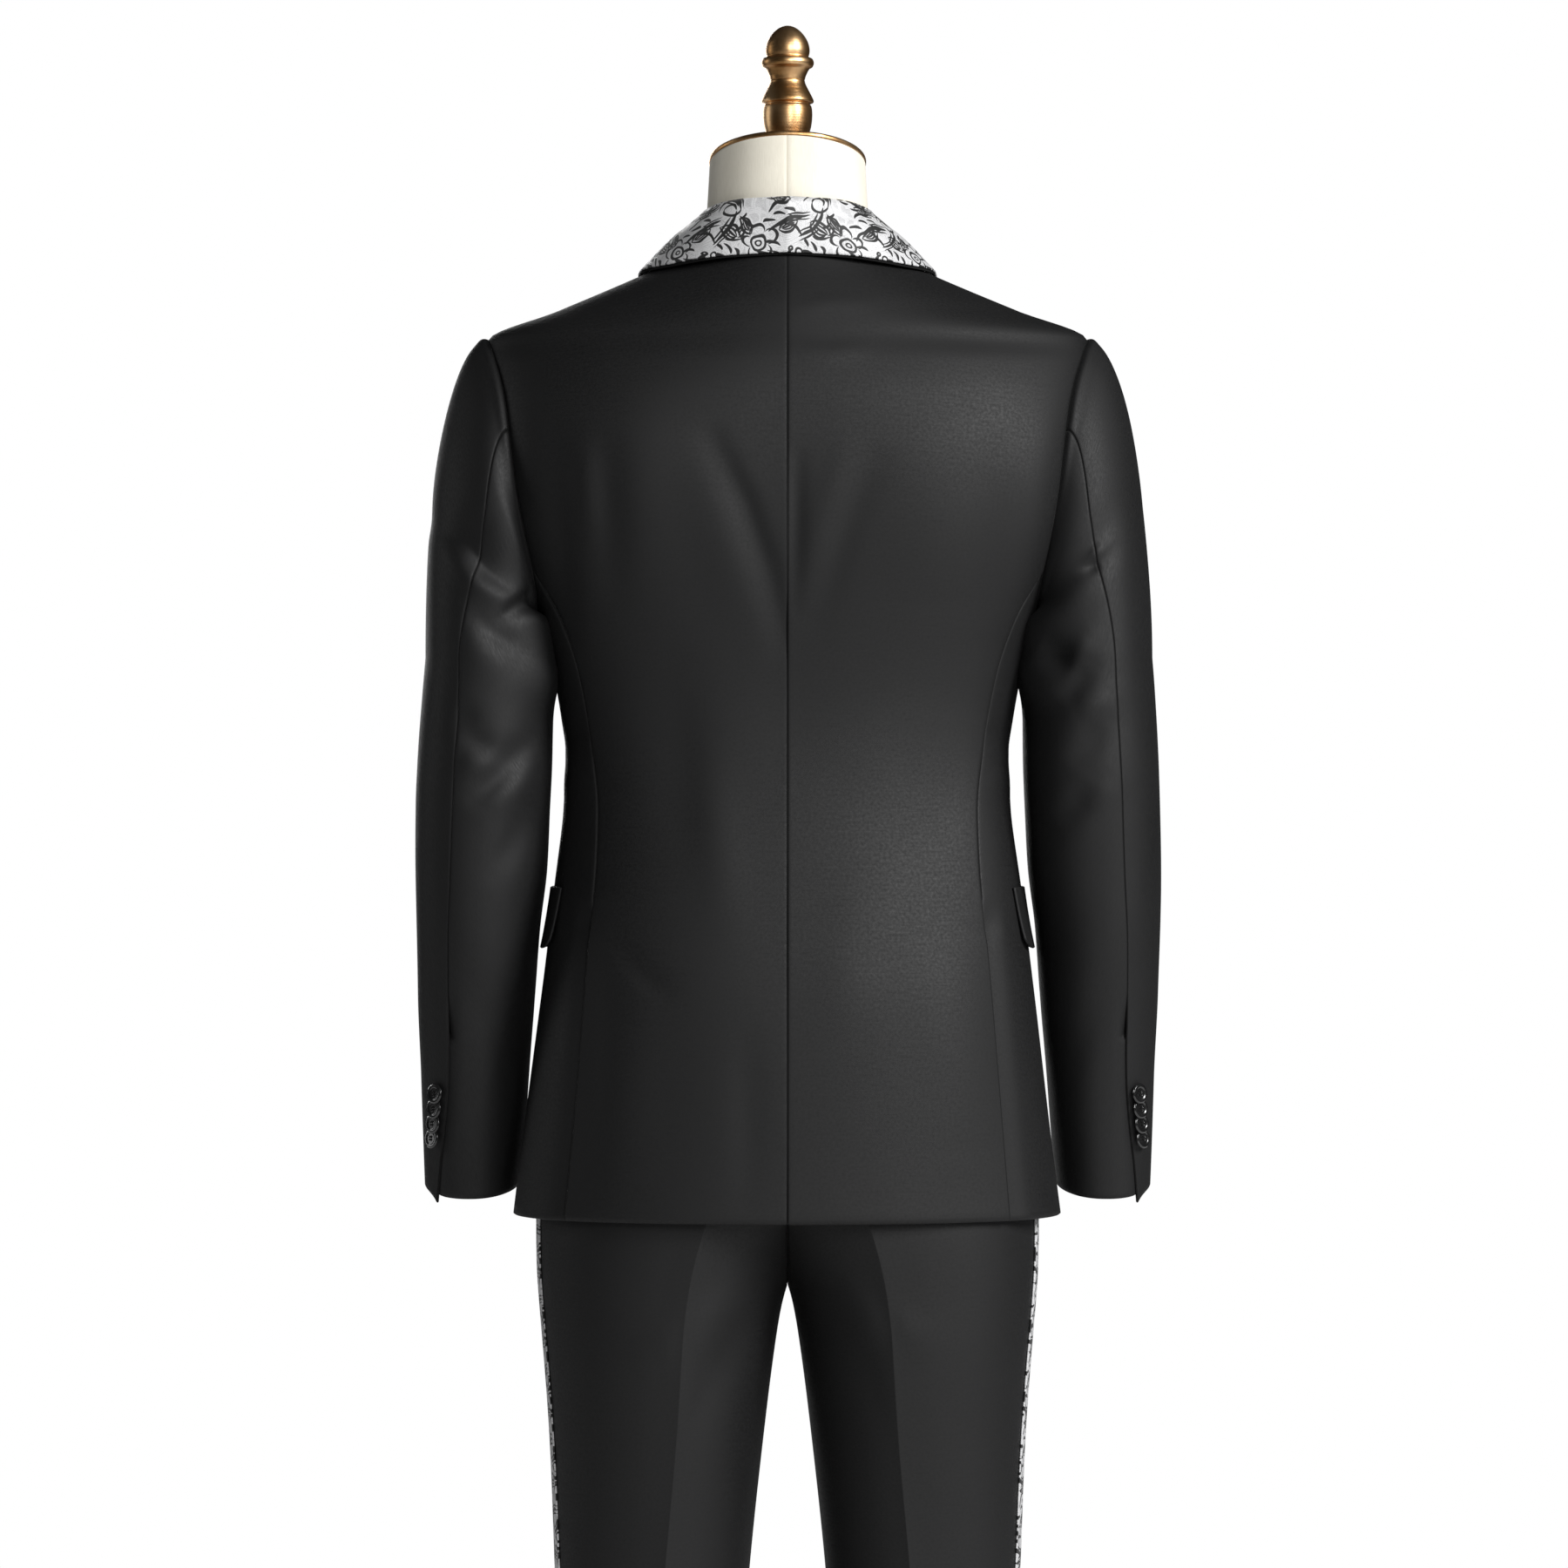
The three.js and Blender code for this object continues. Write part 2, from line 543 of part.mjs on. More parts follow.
// Turn of the hind seam on the sleeve's rings, from the first ring (step 1) to the hem (step 2)
const HIND_SEAM = [
  { step: 1, turn: 72 },
  { step: 1.4, turn: 68.7 },
  { step: 1.7, turn: 68 },
  { step: 1.78, turn: 66.3 },
  { step: 1.86, turn: 61.8 },
  { step: 2, turn: 48 },
];
const hindTurn = armholeTurn(HIND_SEAM_TOP);
const sleeveSpan = (step) => along(HIND_SEAM, 'turn', step, 'step');

function sleeveRing(turn, z) {
  const [outer, inner] = [along(SLEEVE_RINGS, 'outer', z), along(SLEEVE_RINGS, 'inner', z)];
  const { roundness } = SLEEVE;
  const x = (outer + inner) / 2 + ((outer - inner) / 2) * signedPower(Math.cos(radians(turn)), roundness);
  const reach = along(SLEEVE_RINGS, 'depth', z) * signedPower(Math.sin(radians(turn)), roundness);
  return new THREE.Vector3(x, along(SLEEVE_RINGS, 'middle', z) + reach, z);
}

// Turn on the lower rings of a sleeve column that leaves the armhole at a given turn
function loweredTurn(turn, step) {
  const hind = sleeveSpan(step);
  const first = foreTurn - 360;
  if (turn <= hindTurn) return mix(first, hind, (turn - first) / (hindTurn - first));
  return mix(hind, foreTurn, (turn - hindTurn) / (foreTurn - hindTurn));
}

function sleeveBase(turn, step) {
  if (step >= 1) {
    const down = step - 1;
    const lowered = loweredTurn(turn, step);
    const z = mix(SLEEVE.start, SLEEVE.hem, down);
    const point = sleeveRing(lowered, z);
    point.z -= SLEEVE.hemTilt * Math.sin(radians(lowered)) * smooth(down, 0, 1);
    return point;
  }
  const start = armholePoint(turn);
  start.x += SLEEVE.gap;
  const end = sleeveRing(loweredTurn(turn, 1), SLEEVE.start);
  const [up, back] = [Math.cos(radians(turn)), Math.sin(radians(turn))];
  const out = SLEEVE_HEAD.out + (up > 0 ? SLEEVE_HEAD.crown : SLEEVE_HEAD.tuck) * up;
  const rise = SLEEVE_HEAD.rise * up - SLEEVE_HEAD.drop * (1 - up);
  const leave = start.clone().add(new THREE.Vector3(out, SLEEVE_HEAD.round * back, rise));
  const arrive = end.clone().add(new THREE.Vector3(0, 0, SLEEVE_HEAD.hang * (start.z - end.z)));
  return new THREE.CubicBezierCurve3(start, leave, arrive, end).getPoint(Math.max(0, step));
}

const sleeveNormal = (turn, step) => {
  const low = Math.max(step, 0.02);
  return normalAt(sleeveBase, turn, low, 2, 0.02);
};

function sleeveFold(turn, z) {
  const around = turn < 0 ? turn + 360 : turn;
  return SLEEVE_FOLDS.reduce((sum, fold) => {
    const off = around - fold.turn;
    const across = (z - fold.z - fold.slope * off) / fold.width;
    return sum + fold.height * Math.exp(-(across ** 2) - (off / fold.reach) ** 2);
  }, 0);
}

function sleeveSheet(turn, step, lift = 0) {
  const normal = sleeveNormal(turn, step);
  const point = sleeveBase(turn, step);
  const fold = sleeveFold(turn, point.z) * smooth(step, 0, 0.3);
  return { point: point.addScaledVector(normal, fold + lift), normal };
}

const sleeveTurnFor = (length) => degrees(length / SLEEVE.radius);

function sleeveTurns() {
  const back = [...ARMHOLE_ROWS].reverse().map(armholeTurn);
  const front = back.map((turn) => -turn).reverse();
  const inner = Array.from({ length: SIDE_COLUMNS - 1 }, (_, k) => underarmTurn(sideTopAngle(k + 1)));
  const underarm = [joinTurn, ...inner, foreTurn];
  const top = [...front, ...back.slice(1)].filter((turn) => turn <= hindTurn + 0.01);
  const behind = back.filter((turn) => turn > hindTurn + 0.01 && turn < joinTurn - 0.01);
  const under = [hindTurn, hindTurn + sleeveTurnFor(CUFF_VENT.soft), ...behind, ...underarm];
  return { top, under };
}

const ventStep = 1 + (SLEEVE.start - CUFF_VENT.top) / (SLEEVE.start - SLEEVE.hem);

function topSleeve(turns) {
  return wall(SLEEVE_ROWS.length - 1, turns.length - 1, WOOL, (i, j) => {
    const last = turns.length - 1;
    const gap = sleeveTurnFor(HALF_SEAM) * (j === 0 ? 1 : j === last ? -1 : 0);
    const sheet = sleeveSheet(turns[j] + gap, SLEEVE_ROWS[i]);
    if (i === SLEEVE_ROWS.length - 1 && j === last) sheet.point.z -= CUFF_VENT.corner;
    return sheet;
  });
}

// The under sleeve tucks under the top sleeve along the cuff's vent
function underSleeve(turns) {
  const last = turns.length - 1;
  return wall(SLEEVE_ROWS.length - 1, turns.length - 1, WOOL, (i, j) => {
    const step = SLEEVE_ROWS[i];
    const open = step > ventStep ? 1 : 0;
    const tucked = smooth(step, ventStep - CUFF_VENT.ease, ventStep);
    const underlap = j === 0 ? CUFF_VENT.underlap * open : 0;
    const near = j === 0 ? HALF_SEAM : 0;
    const gap = j === last ? HALF_SEAM : 0;
    const turn = turns[j] + sleeveTurnFor(near * (1 - open) - underlap - gap);
    const tuck = j <= 1 ? CUFF_VENT.tuck * tucked : 0;
    return sleeveSheet(turn, step, -tuck);
  });
}

function lathe(profile, segments) {
  const points = profile.map(({ r, z }) => new THREE.Vector2(r, z));
  const geometry = new THREE.LatheGeometry(points, segments).rotateX(Math.PI / 2);
  geometry.deleteAttribute('normal');
  geometry.deleteAttribute('uv');
  const merged = mergeVertices(geometry, 1e-4);
  merged.computeVertexNormals();
  return merged;
}

function buttonGeometry(radius, thickness) {
  const profile = [
    { r: 0, z: -thickness / 2 },
    { r: radius, z: -thickness / 2 },
    { r: radius * 0.88, z: thickness / 2 },
    { r: 0, z: thickness / 2 },
  ];
  return lathe(profile, 12);
}

function placeOn(geometry, point, normal) {
  const turn = new THREE.Quaternion().setFromUnitVectors(new THREE.Vector3(0, 0, 1), normal);
  return geometry.clone().applyQuaternion(turn).translate(point.x, point.y, point.z);
}

// Cuff buttons overlap like shingles, each tilted just enough to clear the next
function buildCuffButtons() {
  const tilt = radians(CUFF_BUTTON.tilt);
  const lift = Math.sin(tilt) * CUFF_BUTTON.radius + CUFF_BUTTON.thickness / 2 + 2 * SEAM;
  const button = buttonGeometry(CUFF_BUTTON.radius, CUFF_BUTTON.thickness);
  for (let k = 0; k < CUFF_BUTTON.count; k += 1) {
    const step = 1 + (SLEEVE.start - CUFF_BUTTON.first + k * CUFF_BUTTON.pitch) / (SLEEVE.start - SLEEVE.hem);
    const turn = hindTurn - sleeveTurnFor(CUFF_BUTTON.inset);
    const { point, normal } = sleeveSheet(turn, step);
    const down = sleeveSheet(turn, step + 0.02).point.sub(sleeveSheet(turn, step - 0.02).point).normalize();
    const facing = normal.clone().multiplyScalar(Math.cos(tilt)).addScaledVector(down, -Math.sin(tilt));
    const geometry = placeOn(button, point.addScaledVector(normal, lift), facing.normalize());
    addPair(`cuff_button_${k + 1}`, geometry, MATERIALS.button);
  }
}

function buildSleeves() {
  const { top, under } = sleeveTurns();
  addPair('top_sleeve', topSleeve(top), MATERIALS.wool);
  addPair('under_sleeve', underSleeve(under), MATERIALS.wool);
  buildCuffButtons();
}

// Lapels lie on the fronts, and the collar stands round the neck and falls over them

const LAPEL_ROWS = 11;
const LAPEL_COLUMNS = 3;
const LAPEL_TOP = 0.975;
const LAPEL_CLEAR = 0.8;

function lapelBase(step, across) {
  const at = (key) => along(LAPEL, key, step, 'step');
  const x = mix(at('rollX'), at('edgeX'), across);
  const z = mix(at('rollZ'), at('edgeZ'), across);
  const angle = 180 - degrees(Math.atan2(x, depthAt(BODY, z, x, 'front')));
  const lift = LAPEL_CLEAR + BROCADE + at('lift') * (1 - across) ** 2;
  return bodySheet(angle, z, lift).point;
}

function lapel(extra) {
  return wall(LAPEL_ROWS, LAPEL_COLUMNS, BROCADE, (i, j) => {
    const step = LAPEL_TOP * (i / LAPEL_ROWS);
    const across = j / LAPEL_COLUMNS;
    const surface = (u, v) => lapelBase(v, u);
    const normal = normalAt(surface, across, THREE.MathUtils.clamp(step, 0.01, 0.99), 0.05, 0.01).negate();
    return { point: lapelBase(step, across).addScaledVector(normal, extra), normal };
  });
}

// Height of the shoulder's surface over a point in plan
function shoulderHeight(x, y) {
  let [low, high] = [SHOULDER - 30, NECKLINE];
  for (let i = 0; i < 30; i += 1) {
    const z = (low + high) / 2;
    if (Math.abs(x) < widthAt(BODY, z, y)) low = z;
    else high = z;
  }
  return low;
}

const COLLAR_STEPS = [0, 0.14, 0.28, 0.42, 0.54, 0.64, 0.74, 0.86, 1];
const gorge = 0.98;

function collarTable() {
  const [roll, edge] = [lapelBase(gorge, 0), lapelBase(gorge, 1)];
  const rollEnd = { rollX: roll.x, rollY: roll.y, rollZ: roll.z };
  const edgeEnd = { edgeX: edge.x, edgeY: edge.y, edgeZ: edge.z };
  return [...COLLAR, { step: 1, ...rollEnd, ...edgeEnd }];
}

// Section of the collar: foot of the stand, over the roll line, down to the outer edge
function collarSection(table, step) {
  const at = (key) => along(table, key, step, 'step');
  const roll = new THREE.Vector3(at('rollX'), at('rollY'), at('rollZ'));
  const edge = new THREE.Vector3(at('edgeX'), at('edgeY'), at('edgeZ'));
  edge.z = Math.max(edge.z, shoulderHeight(edge.x, edge.y) + COLLAR_CLEAR);
  const out = new THREE.Vector3(edge.x, edge.y, 0).normalize();
  const angle = degrees(Math.atan2(roll.x, roll.y));
  const footZ = Math.min(NECKLINE, roll.z - STAND.least);
  const foot = ringPoint(BODY, angle, footZ);
  foot.addScaledVector(out, -STAND.inset);
  foot.z += SEAM;
  const inner = roll.clone().addScaledVector(out, -COLLAR_FOLD).setZ(roll.z - COLLAR_FOLD);
  const outer = roll.clone().addScaledVector(out, COLLAR_FOLD).setZ(roll.z - COLLAR_FOLD);
  const middle = outer.clone().lerp(edge, 0.5).addScaledVector(out, FALL_CROWN);
  middle.z += FALL_CROWN;
  return [foot, inner, roll, outer, outer.clone().lerp(middle, 0.5), middle, edge];
}

function collar(table) {
  const steps = [...COLLAR_STEPS.slice(1).map((step) => -step).reverse(), ...COLLAR_STEPS];
  const section = (step) => {
    const points = collarSection(table, Math.abs(step));
    return step < 0 ? points.map((p) => p.setX(-p.x)) : points;
  };
  const columns = section(0).length - 1;
  return wall(steps.length - 1, columns, BROCADE, (i, j) => {
    const points = section(steps[i]);
    const before = section(steps[Math.max(0, i - 1)])[j];
    const after = section(steps[Math.min(steps.length - 1, i + 1)])[j];
    const sideways = after.sub(before).normalize();
    const downwards = points[Math.min(columns, j + 1)].clone().sub(points[Math.max(0, j - 1)]).normalize();
    return { point: points[j], normal: sideways.cross(downwards).normalize().negate() };
  });
}

// The under collar follows the fall's inner face and shows a little below its edge
function underCollar(table) {
  const reach = COLLAR_STEPS.filter((step) => step < UNDER_COLLAR.reach);
  const steps = [...reach.slice(1).map((step) => -step).reverse(), ...reach];
  const section = (step) => {
    const points = collarSection(table, Math.abs(step)).slice(4);
    const last = points[points.length - 1];
    last.addScaledVector(last.clone().sub(points[points.length - 2]).normalize(), UNDER_COLLAR.show);
    return step < 0 ? points.map((p) => p.setX(-p.x)) : points;
  };
  return wall(steps.length - 1, 2, FELT, (i, j) => {
    const points = section(steps[i]);
    const before = section(steps[Math.max(0, i - 1)])[j];
    const after = section(steps[Math.min(steps.length - 1, i + 1)])[j];
    const sideways = after.sub(before).normalize();
    const downwards = points[Math.min(2, j + 1)].clone().sub(points[Math.max(0, j - 1)]).normalize();
    const normal = sideways.cross(downwards).normalize().negate();
    return { point: points[j].addScaledVector(normal, -BROCADE - SEAM), normal };
  });
}

function buildCollar() {
  const table = collarTable();
  addPiece('collar', collar(table), MATERIALS.brocade);
  addPiece('under_collar', underCollar(table), MATERIALS.felt);
  addPair('lapel', lapel(0), MATERIALS.brocade);
}

// Pocket flaps hang over the side-front seam, and one button closes the fronts

function flap() {
  const [rows, columns] = [2, 7];
  return wall(rows, columns, WOOL, (i, j) => {
    const down = 1 - i / rows;
    const z = mix(FLAP.bottom, FLAP.top, i / rows);
    const lean = down * (j === 0 ? FLAP.slant : 0);
    const angle = mix(FLAP.from, FLAP.to, j / columns) + lean;
    return bodySheet(angle, z, WOOL + FLAP.clear + FLAP.flare * down * down);
  });
}

function buildTrim() {
  addPair('pocket_flap', flap(), MATERIALS.wool);
  const front = bodySheet(180, FRONT_BUTTON.z, FRONT_BUTTON.thickness / 2 + FRONT_BUTTON.clear);
  const button = buttonGeometry(FRONT_BUTTON.radius, FRONT_BUTTON.thickness);
  addPiece('front_button', placeOn(button, front.point, front.normal), MATERIALS.button);
}

// Trousers: each leg is a ring, cut off at the middle plane above the crotch

function legPoint(turn, z) {
  const key = Math.cos(radians(turn)) >= 0 ? 'back' : 'front';
  const side = Math.sin(radians(turn)) >= 0 ? 'outer' : 'inner';
  const across = Math.abs(Math.sin(radians(turn))) / along(LEG, side, z);
  const deep = Math.abs(Math.cos(radians(turn))) / along(LEG, key, z);
  const radius = (across ** LEG_POWER + deep ** LEG_POWER) ** (-1 / LEG_POWER);
  const x = along(LEG, 'middle', z) + radius * Math.sin(radians(turn));
  const y = along(LEG, 'shift', z) + radius * Math.cos(radians(turn));
  return new THREE.Vector3(x, y, z);
}

// Turn at which the leg's ring meets the inseam, or the middle plane above the crotch
function innerTurn(z, back) {
  if (z <= CROTCH) return -90;
  let [low, high] = [-90, 0];
  for (let i = 0; i < 40; i += 1) {
    const middle = (low + high) / 2;
    if (legPoint(back ? middle : 180 - middle, z).x < SEAM) low = middle;
    else high = middle;
  }
  return high;
}

function legSheet(turn, z) {
  const normal = normalAt(legPoint, turn, z, 1.5, 2);
  const side = Math.cos(radians(turn)) >= 0 ? turn : 180 - turn;
  const toCrease = side + CREASE.inward * smooth(z, CREASE.straight, CREASE.shifted);
  const height = CREASE.height * (1 - smooth(z, CREASE.fade, CREASE.gone));
  const near = 1 - smooth(Math.abs(toCrease), CREASE.width, 3 * CREASE.width);
  const crease = height * near * Math.exp(-Math.abs(toCrease) / CREASE.width);
  return { point: legPoint(turn, z).addScaledVector(normal, crease), normal };
}

function legPanel(back) {
  const columns = LEG_COLUMNS.length - 1;
  const gap = degrees(HALF_SEAM / LEG_RADIUS);
  return wall(LEG_ROWS.length - 1, columns, WOOL, (i, j) => {
    const z = LEG_ROWS[i];
    const inner = innerTurn(z, back) + (z <= CROTCH ? gap : 0);
    const turn = mix(90 - gap, inner, LEG_COLUMNS[j]);
    return legSheet(back ? turn : 180 - turn, z);
  });
}

function waistband() {
  const columns = 12;
  return wall(1, columns, WOOL, (i, j) => {
    const z = i === 0 ? WAIST.seam : WAIST.top;
    const gap = degrees(HALF_SEAM / along(LEG, 'back', z));
    const turn = mix(gap, 180 - gap, j / columns);
    const normal = normalAt(legPoint, turn, z, 1.5, 2);
    return { point: legPoint(turn, z), normal };
  });
}

function stripe() {
  const rows = LEG_ROWS.filter((z) => z < WAIST.seam);
  return wall(rows.length - 1, STRIPE.columns, STRIPE.wall, (i, j) => {
    const z = rows[i];
    const from = STRIPE.behind + STRIPE.width / 2;
    const length = from - (STRIPE.width * j) / STRIPE.columns;
    const { point, normal } = legSheet(90 - degrees(length / along(LEG, 'outer', z)), z);
    return { point: point.addScaledVector(normal, STRIPE.clear + STRIPE.wall), normal };
  });
}

function buildTrousers() {
  addPair('trouser_back', legPanel(true), MATERIALS.wool);
  addPair('trouser_front', legPanel(false), MATERIALS.wool);
  addPair('waistband', waistband(), MATERIALS.wool);
  addPair('side_stripe', stripe(), MATERIALS.brocade);
}

// Dress form: torso, shoulders just under the jacket's, and a neck cut on the slant

const FORM_AROUND = 24;
const FORM_CLEAR = WOOL + 1.5;
const SHOULDER_END = { inset: 13, power: 6, top: 1522 };

function formRings() {
  const ring = (point) => Array.from({ length: FORM_AROUND }, (_, k) => point((360 * k) / FORM_AROUND));
  const torso = FORM.map(({ z }) => ring((angle) => ringPoint(FORM, angle, z)));
  const shoulders = [SHOULDER, ...NECK_ROWS.slice(0, -1)].map((z) => ring((angle) => {
    const sideways = Math.abs(Math.sin(radians(angle))) ** SHOULDER_END.power;
    const end = SHOULDER_END.inset * sideways * (1 - smooth(z, SHOULDER, SHOULDER_END.top));
    return bodySheet(angle, z, -FORM_CLEAR - end).point;
  }));
  const lean = Math.tan(radians(NECK_TILT));
  const neck = [...NECK.slice(0, -1).map(({ z }) => z), NECK_TOP].map((z) => ring((angle) => {
    const point = ringPoint(NECK, angle, z);
    point.z += point.y * lean * smooth(z, NECK_BEND, NECK_TOP);
    return point;
  }));
  return [...torso, ...shoulders, ...neck];
}

function tilted(geometry, z) {
  return geometry.rotateX(radians(NECK_TILT)).translate(0, 0, z);
}

function capGeometry() {
  const half = CAP.thickness / 2;
  const profile = [
    { r: 0, z: -half },
    { r: CAP.radius - CAP.lip, z: -half },
    { r: CAP.radius, z: -half + CAP.lip },
    { r: CAP.radius, z: half - CAP.lip },
    { r: CAP.radius - CAP.lip, z: half },
    { r: 0, z: half },
  ];
  return tilted(lathe(profile, 32), CAP.z);
}

function toManifold(geometry) {
  return new wasm.Manifold(new wasm.Mesh({
    numProp: 3,
    vertProperties: Float32Array.from(geometry.getAttribute('position').array),
    triVerts: Uint32Array.from(geometry.getIndex().array),
  }));
}

function fromManifold(solid) {
  const mesh = solid.getMesh();
  const geometry = new THREE.BufferGeometry();
  geometry.setAttribute('position', new THREE.Float32BufferAttribute(mesh.vertProperties, 3));
  geometry.setIndex(Array.from(mesh.triVerts));
  geometry.computeVertexNormals();
  return geometry;
}

// The finial stands upright, so its foot is cut on the slant of the cap
function finialGeometry() {
  const top = [...FINIAL, { r: 0, z: FINIAL_TOP }];
  const blank = lathe([{ r: 0, z: FINIAL[0].z }, ...top], 16);
  const box = new THREE.BoxGeometry(FOOT_CUT.width, FOOT_CUT.width, FOOT_CUT.height);
  box.deleteAttribute('normal');
  box.deleteAttribute('uv');
  const down = FOOT_CUT.height / 2 - CAP.thickness / 2 - SEAM;
  const cutter = tilted(mergeVertices(box).translate(0, 0, -down), CAP.z);
  return fromManifold(toManifold(blank).subtract(toManifold(cutter)));
}

function buildForm() {
  addPiece('dress_form', skin(formRings()), MATERIALS.linen);
  addPiece('neck_cap', capGeometry(), MATERIALS.brass);
  addPiece('finial', finialGeometry(), MATERIALS.brass);
}

function buildStand() {
  const bottom = BASE.thickness + SEAM;
  const height = FORM_BOTTOM - SEAM - bottom;
  const pole = new THREE.CylinderGeometry(POLE.radius, POLE.radius, height, 20).rotateX(Math.PI / 2);
  addPair('pole', mergeVertices(bare(pole)).translate(POLE.x, 0, bottom + height / 2), MATERIALS.brass);
  const profile = [
    { r: 0, z: 0 },
    { r: BASE.radius, z: 0 },
    { r: BASE.radius, z: BASE.thickness - BASE.edge },
    { r: BASE.radius - BASE.edge, z: BASE.thickness },
    { r: 0, z: BASE.thickness },
  ];
  addPiece('base', lathe(profile, 40), MATERIALS.brass);
}

function bare(geometry) {
  geometry.deleteAttribute('normal');
  geometry.deleteAttribute('uv');
  return geometry;
}

buildJacketBody();
buildSleeves();
buildCollar();
buildTrim();
buildTrousers();
buildForm();
buildStand();

export default tuxedo;
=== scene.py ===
# A tuxedo, jacket and trousers, on a limbless dress form with a round base, seen from behind.
# Lengths here are millimetres with +Z up. The wearer's left is +X and the garment's front faces -Y.

import math
import bpy
import numpy as np
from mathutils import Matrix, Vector


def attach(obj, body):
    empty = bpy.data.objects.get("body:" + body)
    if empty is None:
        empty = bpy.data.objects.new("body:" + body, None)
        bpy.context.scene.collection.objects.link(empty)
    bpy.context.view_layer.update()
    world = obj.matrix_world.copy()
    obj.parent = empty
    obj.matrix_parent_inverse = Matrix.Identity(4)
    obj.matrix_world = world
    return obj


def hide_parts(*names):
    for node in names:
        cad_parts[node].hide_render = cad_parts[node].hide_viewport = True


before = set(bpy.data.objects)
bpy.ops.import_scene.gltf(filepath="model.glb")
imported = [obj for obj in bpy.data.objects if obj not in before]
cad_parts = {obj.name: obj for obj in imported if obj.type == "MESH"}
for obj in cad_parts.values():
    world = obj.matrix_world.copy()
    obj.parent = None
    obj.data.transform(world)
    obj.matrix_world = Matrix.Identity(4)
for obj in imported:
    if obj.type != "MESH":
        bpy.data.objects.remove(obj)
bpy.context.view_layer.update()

METRE = 0.001

# Sizes that the pieces share with the solids under them

WOOL = 2.0
BROCADE = 1.6
FELT = 1.0
SEAM = 0.3
JACKET_HEM = 849
SHOULDER = 1499
NECKLINE = 1560
SIDE_SEAM_TOP = 1326
ARMHOLE_TOP, ARMHOLE_BOTTOM, ARMHOLE_REACH = 1499, 1288, 66
VENT_TOP, VENT_UNDERLAP, VENT_TUCK, VENT_SOFT = 1062, 30, 2.5, 22
SLEEVE_START, SLEEVE_HEM, SLEEVE_TILT, SLEEVE_VENT = 1262, 868, 10, 986
SLEEVE_UNDERLAP, SLEEVE_TUCK, SLEEVE_CORNER = 18, 3.2, 6
BUTTON_RADIUS, BUTTON_PITCH, BUTTON_FIRST, BUTTON_COUNT = 7.5, 11.4, 945, 4
FRONT_BUTTON_RADIUS, FRONT_BUTTON_Z = 10, 1172
WAIST_SEAM, WAIST_TOP, CROTCH, TROUSER_HEM = 1014, 1050, 794, 27
STRIPE_BACK, STRIPE_FRONT, STRIPE_WALL, STRIPE_TOP = 31, -1, 1.2, 960
NECK_TILT = math.radians(15.5)
CAP_RADIUS, CAP_THICKNESS, CAP_Z = 58.7, 4.5, 1632
FORM_BOTTOM, FORM_CLEAR = 885, 3.5
POLE_RADIUS, POLE_X = 11, 100
BASE_RADIUS, BASE_THICKNESS = 220, 10


def table(columns, rows):
    """Rows of numbers as one array for each named column."""
    return dict(zip(columns.split(), np.array(rows, float).T))


BODY = table("z half back front power", [
    (849, 204, 126, 118, 2.3), (945, 192, 125, 118, 2.3), (1013, 183.5, 122, 116, 2.3),
    (1048, 179, 117, 114, 2.3), (1098, 173.5, 104, 112, 2.35), (1140, 167, 93, 110, 2.4),
    (1181, 164, 88, 110, 2.45), (1220, 168, 88.5, 112, 2.55), (1255, 174.5, 94, 115, 2.65),
    (1290, 184, 101, 118, 2.8), (1330, 199, 110, 120, 2.95), (1370, 211, 116, 120, 3),
    (1410, 218, 118, 118, 2.9), (1450, 223, 114, 109, 2.4), (1480, 224.5, 106, 97, 2),
    (1499, 223, 98, 86, 1.75), (1520, 173, 88, 74, 1.8), (1547, 109, 70, 56, 1.9),
    (1560, 80, 62, 48, 2),
])
FORM = table("z half back front power", [
    (885, 128, 72, 64, 2.1), (905, 148, 92, 80, 2.1), (960, 162, 99, 90, 2.2),
    (1014, 158, 93, 92, 2.25), (1050, 153.8, 88, 91, 2.25), (1100, 147, 80, 92, 2.3),
    (1181, 142, 74, 90, 2.3), (1260, 152, 84, 98, 2.4), (1330, 176, 98, 106, 2.6),
    (1390, 192, 106, 106, 2.7), (1440, 204, 105, 99, 2.4), (1475, 209, 98, 88, 2),
])
NECK = table("z half back front power", [
    (1560, 72, 57.5, 40, 2), (1575, 62, 57, 45, 2), (1592, 60.4, 57.6, 52, 2), (1632, 58, 58, 58, 2),
])
SLEEVE_RINGS = table("z outer inner middle depth", [
    (868, 274, 203, -56, 52), (950, 276, 195, -39, 54), (1013, 278, 190, -25, 57),
    (1060, 278, 186, -14, 60), (1106, 278, 180, -5, 62), (1149, 277.5, 177.5, 1, 63.5),
    (1194, 276, 175.5, 4, 65), (1235, 273.5, 175, 4, 67), (1262, 271.5, 178.6, 3, 69),
])
LEG = table("z middle outer inner back front shift", [
    (27, 108, 50, 50, 64, 60, 6), (300, 105, 57, 57, 68, 64, 2), (500, 101.5, 66, 66, 72, 69, 0),
    (583, 100, 71.5, 71.5, 78, 72, 0), (688, 96.5, 79.5, 79.5, 90, 80, 0),
    (757, 94.5, 86.5, 86.5, 98, 86, 0), (794, 91, 93, 90.7, 101, 90, 0),
    (849, 78, 107.5, 110, 106, 96, 0), (900, 48, 132, 150, 109, 99, 0),
    (950, 16, 158, 200, 110, 100, 0), (1014, 0, 162, 220, 99, 98, 0),
    (1050, 0, 156.5, 220, 92.5, 96.5, 0),
])
LEG_POWER = 2.25
SIDE_BACK_SEAM = [
    (849, 163), (986, 151.5), (1049, 146), (1112, 140.5),
    (1149, 139.5), (1203, 145), (1248, 153), (1286, 166),
]
SIDE_FRONT_SEAM = [(849, 116), (1048, 117), (1181, 118), (1250, 115)]
